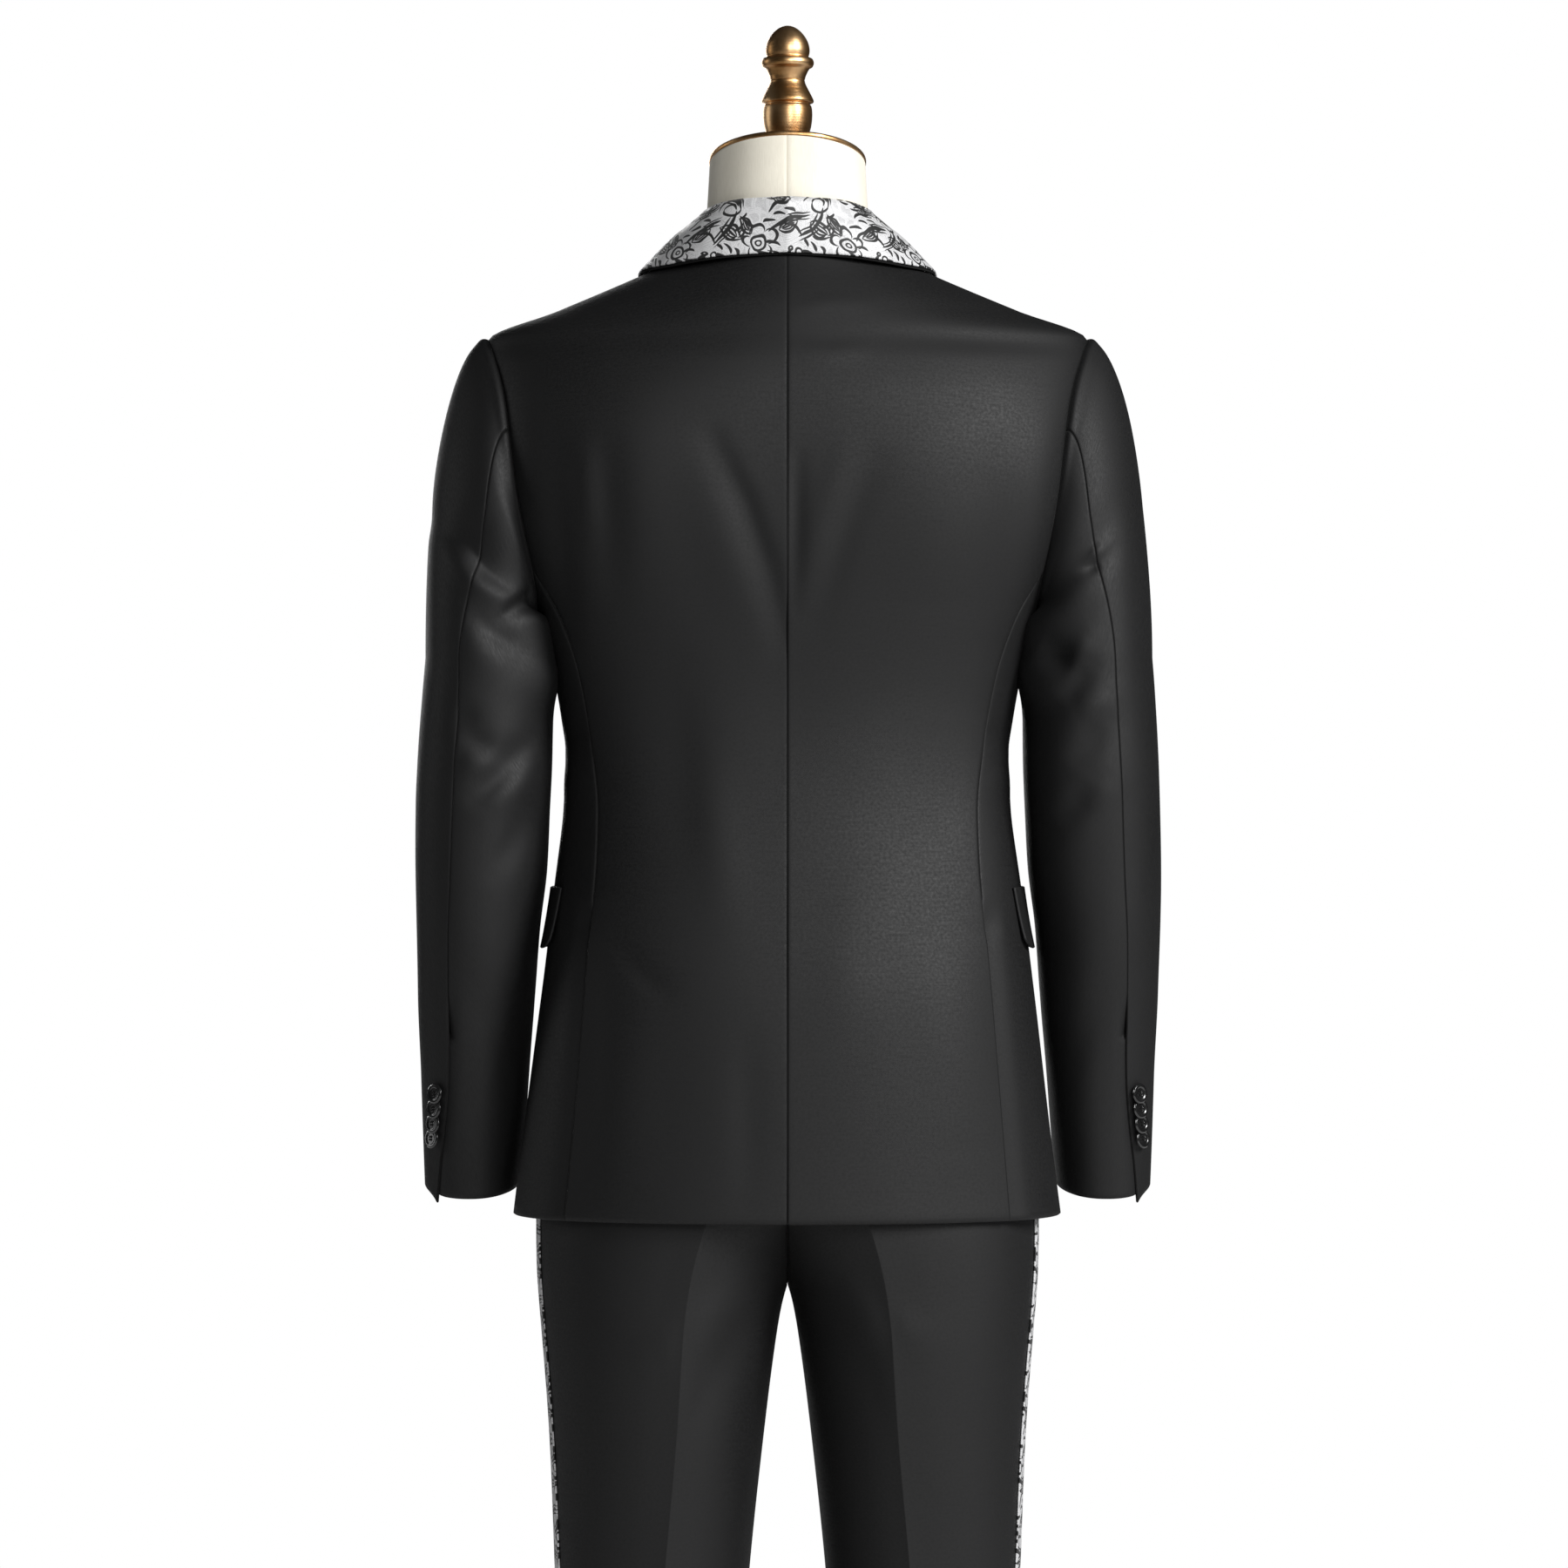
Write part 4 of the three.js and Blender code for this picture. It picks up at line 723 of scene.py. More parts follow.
def make_brass():
    """Antique brass, brushed round its axis, with patches of darker patina."""
    material, paint, shader = new_material("antique_brass", Metallic=1.0, Roughness=0.28)
    place = paint.node("TexCoord", {}, {}, 3)
    brushed = noise(paint, place.vector("MULTIPLY", (10, 10, 1800)), 1.0, 3)
    patina = noise(paint, place.vector("MULTIPLY", (1, 1, 0.4)), 60, 4)
    colour = blend_colour(paint, patina.step(0.3, 0.7), (0.42, 0.22, 0.08, 1), (0.8, 0.52, 0.27, 1))
    connect(paint, shader, Base_Color=colour, Roughness=0.26 + brushed * 0.14 + patina * 0.06,
            Normal=bump(paint, brushed, 0.85, 0.2))
    return material


WOOL_CLOTH = make_wool()
FELT_CLOTH = make_felt()
BROCADE_CLOTH = make_brocade()
BUTTON_GLOSS = make_button()
LINEN = make_linen()
BRASS = make_brass()


# Jacket body

ARMHOLE_MIDDLE = (ARMHOLE_TOP + ARMHOLE_BOTTOM) / 2
ARMHOLE_RISE = (ARMHOLE_TOP - ARMHOLE_BOTTOM) / 2


def armhole_point(turn):
    """The armhole turns from the shoulder (0) through the back (90) and the underarm (180) to the front."""
    z = ARMHOLE_MIDDLE + ARMHOLE_RISE * np.cos(np.radians(turn))
    power = np.where(z > ARMHOLE_MIDDLE, 1.5, 0.8)
    y = ARMHOLE_REACH * signed_power(np.sin(np.radians(turn)), power)
    return points(width_at(BODY, z, y), y, z)


def armhole_turn(z):
    return np.degrees(np.arccos(np.clip((z - ARMHOLE_MIDDLE) / ARMHOLE_RISE, -1, 1)))


JOIN_TURN = float(armhole_turn(SIDE_SEAM_TOP))
JOIN_BACK = armhole_point(np.array(JOIN_TURN))
JOIN_FRONT = armhole_point(np.array(360 - JOIN_TURN))
BACK_SEAM = table("z x", [*SIDE_BACK_SEAM, (SIDE_SEAM_TOP, JOIN_BACK[0])])
FORE_SEAM = table("z angle", [*SIDE_FRONT_SEAM, (SIDE_SEAM_TOP, angle_of(JOIN_FRONT))])


def side_back_angle(z):
    x = along(BACK_SEAM, "x", z)
    return np.degrees(np.arctan2(x, depth_at(BODY, z, x, "back")))


def side_front_angle(z):
    return along(FORE_SEAM, "angle", z)


def back_panel_angle(z):
    high = np.where(z < SHOULDER, angle_of(armhole_point(armhole_turn(z))), 90)
    return np.where(z <= SIDE_SEAM_TOP, side_back_angle(z), high)


def front_panel_angle(z):
    high = np.where(z < SHOULDER, angle_of(armhole_point(360 - armhole_turn(z))), 90)
    return np.where(z <= SIDE_SEAM_TOP, side_front_angle(z), high)


def front_edge_angle(z):
    x = along(FRONT_EDGE, "x", z)
    return 180 - np.degrees(np.arctan2(x, depth_at(BODY, z, x, "front")))


def angle_for(length, angle, z):
    return np.degrees(length / np.linalg.norm(ring_point(BODY, angle, z)[..., :2], axis=-1))


# Spacing of the grid's points on the jacket's body, and the height over which a vent opens
BODY_PITCH = 3.4
VENT_FADE = 14


def body_rows(*extra):
    """Heights of the jacket's grid rows, with a row at every place where its form changes."""
    marks = {JACKET_HEM, VENT_TOP - VENT_FADE, VENT_TOP, 1120, SIDE_SEAM_TOP, SHOULDER, NECKLINE}
    marks = sorted(marks | set(extra))
    rows = [spread(a, b, BODY_PITCH)[:-1] for a, b in zip(marks, marks[1:])]
    return np.concatenate([*rows, [marks[-1]]])


def seam_dip(distance, depth=0.28, width=0.8):
    """Cloth turns in at a seam, so that two panels meet in a thin line."""
    return -depth * np.exp(-((distance / width) ** 2))


# Folds of the back as the viewer sees them: line, width above or outside, width below or inside, height
BACK_FOLDS = {
    "left": [
        ([(192, 1430), (188, 1370), (180, 1300)], 12, 14, 1.6),
        ([(170, 1420), (167, 1350), (163, 1285)], 24, 12, -3.4),
        ([(148, 1415), (147, 1385), (144, 1350)], 9, 10, 1.4),
        ([(132, 1410), (130, 1360), (128, 1310)], 10, 14, -1.4),
        ([(112, 1440), (108, 1370), (104, 1310)], 24, 30, 1.8),
        ([(66, 1396), (50, 1352), (34, 1310), (20, 1276)], 20, 14, 1.1),
        ([(54, 1418), (31, 1372), (14, 1322), (3, 1272)], 12, 9, -2.5),
        ([(86, 1250), (80, 1190), (76, 1130)], 26, 20, -1.8),
        ([(60, 1180), (52, 1130), (44, 1070)], 20, 20, 1.4),
        ([(14, 1528), (44, 1524), (66, 1520)], 5, 6, 0.8),
        ([(144, 1040), (146, 960), (150, 870)], 12, 13, -2.0),
        ([(116, 1050), (116, 960), (120, 870)], 20, 22, 1.6),
        ([(126, 1050), (112, 1034), (92, 1018)], 10, 8, -1.5),
        ([(30, 980), (28, 920), (30, 866)], 12, 14, -0.9),
    ],
    "right": [
        ([(188, 1420), (184, 1360), (174, 1300)], 16, 18, 1.6),
        ([(164, 1400), (160, 1340), (156, 1280)], 16, 24, -2.0),
        ([(110, 1440), (108, 1370), (106, 1300)], 40, 40, 2.6),
        ([(7, 1405), (6, 1350), (5, 1300)], 7, 7, -1.6),
        ([(42, 1410), (28, 1362), (16, 1305)], 13, 12, 1.1),
        ([(62, 1400), (40, 1353), (21, 1290)], 13, 13, -1.7),
        ([(110, 1215), (104, 1150), (100, 1090)], 30, 28, -1.4),
        ([(10, 1518), (34, 1522), (58, 1520)], 5, 7, 1.0),
        ([(8, 1486), (30, 1482), (54, 1484)], 6, 8, 0.9),
        ([(126, 1060), (120, 990), (122, 900)], 30, 24, 1.8),
        ([(50, 1090), (46, 1040), (44, 980)], 22, 22, 1.2),
    ],
}
FRONT_FOLDS = [
    ([(196, 1410), (186, 1345), (174, 1290)], 18, 18, 2.4),
    ([(120, 1400), (112, 1330), (104, 1270)], 44, 40, 2.6),
    ([(30, 1176), (74, 1196), (120, 1204)], 8, 12, 1.6),
    ([(28, 1166), (70, 1150), (118, 1146)], 12, 8, 1.4),
    ([(70, 1030), (78, 950), (86, 870)], 34, 30, 1.8),
]
SIDE_FOLDS = [
    ([(150, 1215), (166, 1190)], 9, 12, -1.2),
    ([(152, 1180), (168, 1160)], 10, 12, 1.0),
]


def body_face(angle, z, folds, seed, extra=0.0):
    """The jacket's surface with its folds laid on it."""
    face = ring_point(BODY, angle, z)
    x, y = face[..., 0], face[..., 1]
    calm = 1 - smooth(z, 1500, 1545)
    height = fold_height(x, z, folds) + 0.7 * ripple(x, y, z, 190, seed)
    return lifted(face, height * calm + extra)


def build_back(side, mirror):
    """One half of the back, from the centre seam to the side seam and the armhole."""
    z = body_rows()
    share = np.concatenate([[0, 0.006, 0.014], spread(0.024, 0.976, BODY_PITCH / 200), [0.986, 0.994, 1]])
    start = angle_for(SEAM / 2, 0, z)[:, None]
    edge = back_panel_angle(z)[:, None]
    end = edge - angle_for(SEAM / 2, edge, z[:, None])
    angle = mix(start, end, share)
    rise = np.broadcast_to(z[:, None], angle.shape)
    plain = ring_point(BODY, angle, rise)
    across = arc_lengths(plain, 1)
    to_side = across[:, -1:] - across
    open_vent = 1 - smooth(rise, VENT_TOP - VENT_FADE, VENT_TOP)
    near_head = smooth(rise, 1440, 1480)
    dip = seam_dip(across) + seam_dip(to_side) * (1 - open_vent) * (1 - near_head)
    small_of_back = smooth(rise, 1120, 1240) * (1 - smooth(rise, 1400, 1500))
    hollow = -0.9 * np.exp(-((across / 30) ** 2)) * small_of_back
    vent_lift = 0.7 * open_vent * np.exp(-to_side / 30)
    hem_turn = -0.5 * np.exp(-((rise - JACKET_HEM) / 2.4) ** 2)
    relief = dip + hollow + vent_lift + hem_turn
    face = body_face(angle, rise, BACK_FOLDS[side], 3 if mirror else 8, relief)
    cloth(f"back_panel_{side}", face, WOOL, WOOL_CLOTH, f"jacket_back_{side}", mirror=mirror,
          seam=np.minimum(across, to_side))


def side_top_z(angle):
    """Height of the armhole's lower edge at a given angle."""
    turns = np.linspace(JOIN_TURN, 360 - JOIN_TURN, 400)
    edge = armhole_point(turns)
    return np.interp(angle, angle_of(edge), edge[:, 2])


def build_side(side, mirror):
    """The side panel tucks under the back panel below the top of the side vent."""
    rows = body_rows(1286)
    rows = rows[rows <= SIDE_SEAM_TOP]
    open_vent = (1 - smooth(rows, VENT_TOP - VENT_FADE, VENT_TOP))[:, None]
    tucked = (1 - smooth(rows, VENT_TOP, VENT_TOP + 24))[:, None]
    row = rows[:, None]
    back, front = side_back_angle(row), side_front_angle(row)
    near = mix(SEAM / 2, -VENT_UNDERLAP, open_vent)
    first = back + angle_for(1, back, row) * near
    fixed = back + angle_for(VENT_SOFT, back, row)
    end = front - angle_for(SEAM / 2, front, row)
    overlap = mix(first, fixed, spread(0, 1, BODY_PITCH / 40))
    plain = mix(fixed, end, spread(0, 1, BODY_PITCH / 110)[1:])
    angle = np.concatenate([overlap, plain], axis=1)
    top = side_top_z(angle[-1])[None, :]
    bend = 1175
    z = np.where(row <= bend, row, bend + (row - bend) * (top - bend) / (SIDE_SEAM_TOP - bend))
    plain_face = ring_point(BODY, angle, z)
    across = arc_lengths(plain_face, 1)
    from_seam = across + near
    tuck = -(VENT_TUCK + 0.3) * tucked * (1 - smooth(from_seam, 0, VENT_SOFT))
    to_front = across[:, -1:] - across
    dip = seam_dip(from_seam) * (1 - tucked) + seam_dip(to_front)
    face = body_face(angle, z, SIDE_FOLDS, 12 if mirror else 5, tuck + dip)
    cloth(f"side_panel_{side}", face, WOOL, WOOL_CLOTH, f"jacket_side_{side}", mirror=mirror,
          seam=np.minimum(np.abs(from_seam) + NO_SEAM * tucked, to_front))


def build_front(side, mirror):
    """The right front lies under the left one where they overlap."""
    z = body_rows(853, 862, 878)
    start = front_panel_angle(z)[:, None]
    first = start + angle_for(SEAM / 2, start, z[:, None])
    share = spread(0, 1, (5) / 260)
    angle = mix(first, front_edge_angle(z)[:, None], share)
    rise = np.broadcast_to(z[:, None], angle.shape)
    plain = ring_point(BODY, angle, rise)
    pressed = (WOOL + SEAM) * (1 - smooth(plain[..., 0], 24, 60)) if mirror else 0
    across = arc_lengths(plain, 1)
    edge_turn = -0.5 * np.exp(-(((across[:, -1:] - across) / 2.4) ** 2))
    relief = seam_dip(across) + edge_turn - pressed
    face = body_face(angle, rise, FRONT_FOLDS, 21 if mirror else 17, relief)
    cloth(f"front_panel_{side}", face, WOOL, WOOL_CLOTH, f"jacket_front_{side}", mirror=mirror,
          seam=across)


# Sleeves

HIND_TURN = float(armhole_turn(1428))
FORE_TURN = 360 - JOIN_TURN
SLEEVE_RADIUS = 55
SLEEVE_HEAD_LENGTH = 110


def sleeve_ring(turn, z):
    outer, inner = along(SLEEVE_RINGS, "outer", z), along(SLEEVE_RINGS, "inner", z)
    roundness = 2 / 2.2
    x = (outer + inner) / 2 + (outer - inner) / 2 * signed_power(np.cos(np.radians(turn)), roundness)
    reach = along(SLEEVE_RINGS, "depth", z) * signed_power(np.sin(np.radians(turn)), roundness)
    return points(x, along(SLEEVE_RINGS, "middle", z) + reach, z)


def lowered_turn(turn, step):
    """Turn on the lower rings of a sleeve column that leaves the armhole at a given turn."""
    hind = along(HIND_SEAM, "turn", step, "step")
    before = mix(FORE_TURN - 360, hind, (turn - FORE_TURN + 360) / (HIND_TURN - FORE_TURN + 360))
    after = mix(hind, FORE_TURN, (turn - HIND_TURN) / (FORE_TURN - HIND_TURN))
    return np.where(turn <= HIND_TURN, before, after)


def sleeve_base(turn, step):
    turn, step = np.broadcast_arrays(np.asarray(turn, float), np.asarray(step, float))
    down = np.clip(step - 1, 0, 1)
    lowered = lowered_turn(turn, np.maximum(step, 1))
    lower = sleeve_ring(lowered, mix(SLEEVE_START, SLEEVE_HEM, down))
    lower[..., 2] -= SLEEVE_TILT * np.sin(np.radians(lowered)) * smooth(down, 0, 1)
    start = armhole_point(turn)
    start[..., 0] += 0.5
    end = sleeve_ring(lowered_turn(turn, np.ones_like(step)), np.full(step.shape, float(SLEEVE_START)))
    up, back = np.cos(np.radians(turn)), np.sin(np.radians(turn))
    leave = start + points(16 + np.where(up > 0, 10, 18) * up, 9 * back, 3 * up - 3.5 * (1 - up))
    arrive = end + points(0 * up, 0 * up, 0.55 * (start[..., 2] - end[..., 2]))
    t = np.clip(step, 0, 1)[..., None]
    upper = (1 - t) ** 3 * start + 3 * (1 - t) ** 2 * t * leave
    upper = upper + 3 * (1 - t) * t**2 * arrive + t**3 * end
    return np.where(step[..., None] >= 1, lower, upper)


# Folds of each sleeve seen from behind; its front takes the same ones at 0.6 of their height
SLEEVE_FOLDS = {
    "left": [
        ([(254, 1357), (233, 1341), (221, 1327), (197, 1310)], 26, 9, -8.0),
        ([(240, 1326), (222, 1312), (202, 1303)], 9, 9, 2.6),
        ([(208, 1402), (201, 1352), (196, 1314)], 24, 9, 5.4),
        ([(209, 1291), (199, 1299), (184, 1308)], 5, 8, -6.0),
        ([(226, 1289), (213, 1277), (199, 1266)], 9, 8, -3.4),
        ([(240, 1278), (222, 1262), (204, 1250)], 14, 16, 2.6),
        ([(246, 1222), (236, 1217), (226, 1214)], 9, 10, -2.0),
        ([(240, 1206), (228, 1199), (214, 1192)], 9, 9, -2.6),
        ([(240, 1186), (228, 1182), (216, 1180)], 10, 11, 2.0),
        ([(227, 1158), (211, 1174), (190, 1200)], 12, 8, -4.6),
        ([(222, 1150), (206, 1162), (192, 1176)], 10, 12, 2.2),
        ([(216, 1104), (204, 1122), (192, 1146)], 10, 10, -2.4),
        ([(262, 1360), (266, 1270), (268, 1180)], 10, 12, -1.4),
        ([(250, 1092), (232, 1050), (214, 1000)], 22, 26, 1.6),
        ([(226, 1012), (214, 980), (206, 948)], 12, 16, -1.6),
    ],
    "right": [
        ([(240, 1372), (228, 1342), (208, 1318), (186, 1298)], 17, 16, -3.4),
        ([(236, 1346), (228, 1339), (221, 1334)], 5, 6, 2.4),
        ([(230, 1331), (224, 1328), (218, 1327)], 4, 5, -2.6),
        ([(228, 1322), (206, 1303), (184, 1284)], 12, 14, 3.4),
        ([(210, 1258), (200, 1262), (184, 1270)], 9, 12, -5.4),
        ([(222, 1276), (214, 1264), (210, 1250)], 8, 8, 2.0),
        ([(222, 1252), (212, 1240), (200, 1228)], 9, 9, -3.0),
        ([(238, 1232), (226, 1226), (212, 1222)], 10, 12, 2.0),
        ([(232, 1212), (222, 1196), (206, 1180)], 11, 11, -2.8),
        ([(224, 1168), (212, 1152), (198, 1138)], 11, 12, -3.0),
        ([(240, 1170), (228, 1160), (218, 1150)], 12, 12, 1.6),
        ([(258, 1370), (262, 1290), (266, 1200)], 10, 12, -1.2),
        ([(252, 1086), (234, 1050), (214, 1000)], 22, 26, 1.6),
        ([(228, 1008), (216, 976), (208, 944)], 12, 16, -1.4),
    ],
}
SEAM_ALLOWANCE = 0.03


def armpit(turn, z):
    """How far the sleeve's inner side is pushed against the body below the armhole."""
    around = np.exp(-(((turn - 152) / 30) ** 2))
    return -10.5 * around * smooth(z, 1214, 1256) * (1 - smooth(z, 1286, 1306))


def sleeve_face(turn, step, side, extra=0.0):
    """The sleeve's surface with its folds, its crown and a seam allowance turned into the armhole."""
    drawn_in = smooth(step, 0.02, 0.5) * (1 - smooth(step, 0.62, 1.05))
    turn = turn + 13 * drawn_in * np.exp(-(((turn - HIND_TURN) / 45) ** 2))
    face = sleeve_base(turn, step)
    turned = np.clip(-np.asarray(step) / SEAM_ALLOWANCE, 0, 1)
    inward = unit(points(0 * face[..., 0], -face[..., 1], ARMHOLE_MIDDLE - face[..., 2]))
    face = face + (inward * 2.6 - (5.5, 0, 0)) * (turned * np.ones(face.shape[:2]))[..., None]
    face[..., 0] += armpit(turn, face[..., 2]) * smooth(step, 0.15, 0.5)
    x, y, z = face[..., 0], face[..., 1], face[..., 2]
    middle = along(SLEEVE_RINGS, "middle", z)
    behind = smooth(y - middle, -12, 18)
    folds = fold_height(x, z, SLEEVE_FOLDS[side])
    height = folds * (behind + 0.6 * (1 - behind)) * smooth(step, 0.02, 0.3)
    height = height + 0.8 * ripple(x, y, z, 150, 31 if side == "left" else 44) * smooth(step, 0.1, 0.5)
    crown = 1.5 * np.exp(-(((step - 0.05) / 0.05) ** 2)) * smooth(np.cos(np.radians(turn)), -0.3, 0.6)
    return lifted(face, height + crown + extra)


SLEEVE_PITCH = 3.6
SLEEVE_STEP = 0.0085
SLEEVE_GAP = np.degrees(SEAM / 2 / SLEEVE_RADIUS)
# Columns close to the hind seam, in degrees from it
NEAR_HIND = np.array([0, 1.3, 2.6])


def sleeve_steps():
    """Steps down the sleeve, closer at its head and its vent, and the step at the vent's top."""
    vent = 1 + (SLEEVE_START - SLEEVE_VENT) / (SLEEVE_START - SLEEVE_HEM)
    parts = [
        spread(-SEAM_ALLOWANCE, 0, SEAM_ALLOWANCE / 3)[:-1],
        spread(0, 0.1, SLEEVE_STEP / 2)[:-1],
        spread(0.1, 1, SLEEVE_STEP)[:-1],
        spread(1, vent - 0.02, SLEEVE_STEP)[:-1],
        spread(vent - 0.02, vent + 0.004, 0.004)[:-1],
        spread(vent + 0.004, 2, SLEEVE_STEP),
    ]
    return np.concatenate(parts)[:, None], vent


def round_sleeve(turn):
    """The way round the sleeve in mm that a turn in degrees makes."""
    return np.radians(turn) * SLEEVE_RADIUS


def build_sleeve(side, mirror):
    """Top and under sleeve. Below the vent's top the under sleeve tucks beneath the top one."""
    steps, vent = sleeve_steps()
    pitch = np.degrees(SLEEVE_PITCH / SLEEVE_RADIUS)
    from_head = np.maximum(steps, 0) * SLEEVE_HEAD_LENGTH
    first = FORE_TURN - 360
    last = HIND_TURN - SLEEVE_GAP
    turn = np.concatenate([spread(first + SLEEVE_GAP, last, pitch)[:-1], last - NEAR_HIND[::-1]])
    turn = turn * np.ones_like(steps)
    across, fore = round_sleeve(HIND_TURN - turn), round_sleeve(turn - first)
    open_vent = smooth(steps, vent - 0.02, vent)
    dip = seam_dip(across) * (1 - open_vent) + seam_dip(fore)
    face = sleeve_face(turn, steps, side, dip)
    face[..., 2] -= SLEEVE_CORNER * smooth(steps, 1.93, 2) * np.exp(-np.maximum(across, 0) / 9)
    seam = np.minimum(np.minimum(np.abs(across), fore), from_head)
    cloth(f"sleeve_top_{side}", face, WOOL, WOOL_CLOTH, f"top_sleeve_{side}",
          mirror=mirror, seam=seam)
    last = HIND_TURN + SLEEVE_GAP
    turn = np.concatenate([last + NEAR_HIND, spread(last, FORE_TURN - SLEEVE_GAP, pitch)[1:]])
    turn = turn * np.ones_like(steps)
    behind, fore = round_sleeve(turn - HIND_TURN), round_sleeve(FORE_TURN - turn)
    close = 1 - smooth(behind, 0, 10)
    under = turn - np.degrees(SLEEVE_UNDERLAP / SLEEVE_RADIUS) * close * (steps > vent)
    tucked = smooth(steps, vent - 0.1, vent)
    dip = seam_dip(behind) * (1 - tucked) + seam_dip(fore)
    face = sleeve_face(under, steps, side, dip - SLEEVE_TUCK * tucked * close)
    seam = np.minimum(np.minimum(behind + NO_SEAM * tucked, fore), from_head)
    cloth(f"sleeve_under_{side}", face, WOOL, WOOL_CLOTH, f"under_sleeve_{side}",
          mirror=mirror, seam=seam)


# Buttons

def button_mesh(radius, thickness):
    """A dished button with a raised rim and four sewn holes, its face towards +Z."""
    around, rings = 48, 30
    turn = np.linspace(0, 2 * np.pi, around, endpoint=False)
    out = np.linspace(0, 1, rings)[:, None] ** 0.9
    x, y = radius * out * np.cos(turn), radius * out * np.sin(turn)
    dish = -0.55 * (1 - smooth(out, 0.5, 0.72)) - 0.9 * smooth(out, 0.86, 1)
    pits = 0
    for k in range(4):
        hole_x, hole_y = beyond(0, 0, 45 + 90 * k, radius * 0.2)
        pits = pits - 1.1 * np.exp(-((np.hypot(x - hole_x, y - hole_y) / (radius * 0.075)) ** 4))
    top = points(x, y, thickness / 2 + dish + pits)
    cosine, sine = radius * np.cos(turn), radius * np.sin(turn)
    side = points(cosine, sine, np.full(around, -thickness * 0.1))
    under = points(0.8 * cosine, 0.8 * sine, np.full(around, -thickness / 2))
    middle = np.array([[0, 0, -thickness / 2]])
    vertices = np.concatenate([top.reshape(-1, 3), side, under, middle])
    faces = [[a, d, c, b] for a, b, c, d in tube_faces(rings + 2, around)]
    last = (rings + 1) * around
    faces += [[last + j, len(vertices) - 1, last + (j + 1) % around] for j in range(around)]
    return vertices, faces


def stitch_mesh(radius, thickness):
    """Two short bars of three threads across the holes."""
    vertices, faces = [], []
    reach, thread, count, around = radius * 0.16, 0.2, 9, 6
    line = np.linspace(-1, 1, count)
    turn = np.arange(around) * math.pi / 3
    height = thickness / 2 - 0.62 + 0.5 * (1 - line**4)
    quads = np.array(tube_faces(count, around))
    for side in (-1, 1):
        for strand in (-0.35, 0.0, 0.35):
            centre = points(reach * line, side * radius * 0.14 + strand, height)[:, None, :]
            start = len(vertices) * around * count
            vertices.append(centre + points(0 * turn, thread * np.cos(turn), thread * np.sin(turn)))
            faces += (quads + start).tolist()
            faces.append([start + k for k in range(around - 1, -1, -1)])
            faces.append([start + (count - 1) * around + k for k in range(around)])
    return np.concatenate(vertices).reshape(-1, 3), faces


def set_on(vertices, point, facing):
    """Turns a button so that its face looks along a direction, at a point."""
    facing = unit(facing)
    side = unit(np.cross((0, 0, 1), facing))
    up = np.cross(facing, side)
    return vertices @ np.stack([side, up, facing]) + point


def place_button(name, node, radius, thickness, point, facing):
    vertices, faces = button_mesh(radius, thickness)
    sewn, threads = stitch_mesh(radius, thickness)
    mesh_object(name, set_on(vertices, point, facing), faces, BUTTON_GLOSS, [node])
    thread = mesh_object(f"{name}_thread", set_on(sewn, point, facing), threads, FELT_CLOTH)
    set_attribute(thread.data, "weave", sewn)


CUFF_BUTTON_TILT, CUFF_BUTTON_THICKNESS = math.radians(14), 2.2


def build_cuff_buttons(side, mirror):
    """Cuff buttons overlap like shingles, each tilted just enough to clear the next."""
    tilt, thickness = CUFF_BUTTON_TILT, CUFF_BUTTON_THICKNESS
    lift = math.sin(tilt) * BUTTON_RADIUS + thickness / 2 + 0.6
    turn = HIND_TURN - np.degrees(12 / SLEEVE_RADIUS)
    for k in range(BUTTON_COUNT):
        z = BUTTON_FIRST - k * BUTTON_PITCH
        step = 1 + (SLEEVE_START - z) / (SLEEVE_START - SLEEVE_HEM)
        patch = sleeve_face(turn + np.array([[-2, 0, 2]]), step + np.array([[-0.02], [0], [0.02]]), side)
        normal = grid_normals(patch)[1, 1]
        down = unit(patch[2, 1] - patch[0, 1])
        facing = normal * math.cos(tilt) - down * math.sin(tilt)
        point = patch[1, 1] + normal * lift
        if mirror:
            point, facing = point * (-1, 1, 1), facing * (-1, 1, 1)
        name = f"cuff_button_{k + 1}_{side}"
        place_button(f"{name}_dished", name, BUTTON_RADIUS, thickness, point, facing)


def build_front_button():
    """The one front button lies on the overlap at the middle."""
    point = ring_point(BODY, np.array(180.0), np.array(float(FRONT_BUTTON_Z))) - (0, 2.5, 0)
    facing = np.array([0, -1.0, 0])
    place_button("front_button_dished", "front_button", FRONT_BUTTON_RADIUS, 4, point, facing)


# Collar and lapels

def lapel_base(step, across):
    at = lambda key: along(LAPEL, key, step, "step")
    x, z = mix(at("rollX"), at("edgeX"), across), mix(at("rollZ"), at("edgeZ"), across)
    angle = 180 - np.degrees(np.arctan2(x, depth_at(BODY, z, x, "front")))
    lift = 0.8 + BROCADE + at("lift") * (1 - across) ** 2
    return ring_point(BODY, angle, z) + ring_normal(BODY, angle, z) * np.asarray(lift)[..., None]


def shoulder_height(x, y):
    low, high = np.full(np.shape(x), SHOULDER - 30.0), np.full(np.shape(x), float(NECKLINE))
    for _ in range(24):
        z = (low + high) / 2
        inside = np.abs(x) < width_at(BODY, z, y)
        low, high = np.where(inside, z, low), np.where(inside, high, z)
    return low


def collar_table():
    roll, edge = lapel_base(np.array(0.98), np.array(0.0)), lapel_base(np.array(0.98), np.array(1.0))
    return table("step rollX rollY rollZ edgeX edgeY edgeZ", [*COLLAR, (1, *roll, *edge)])


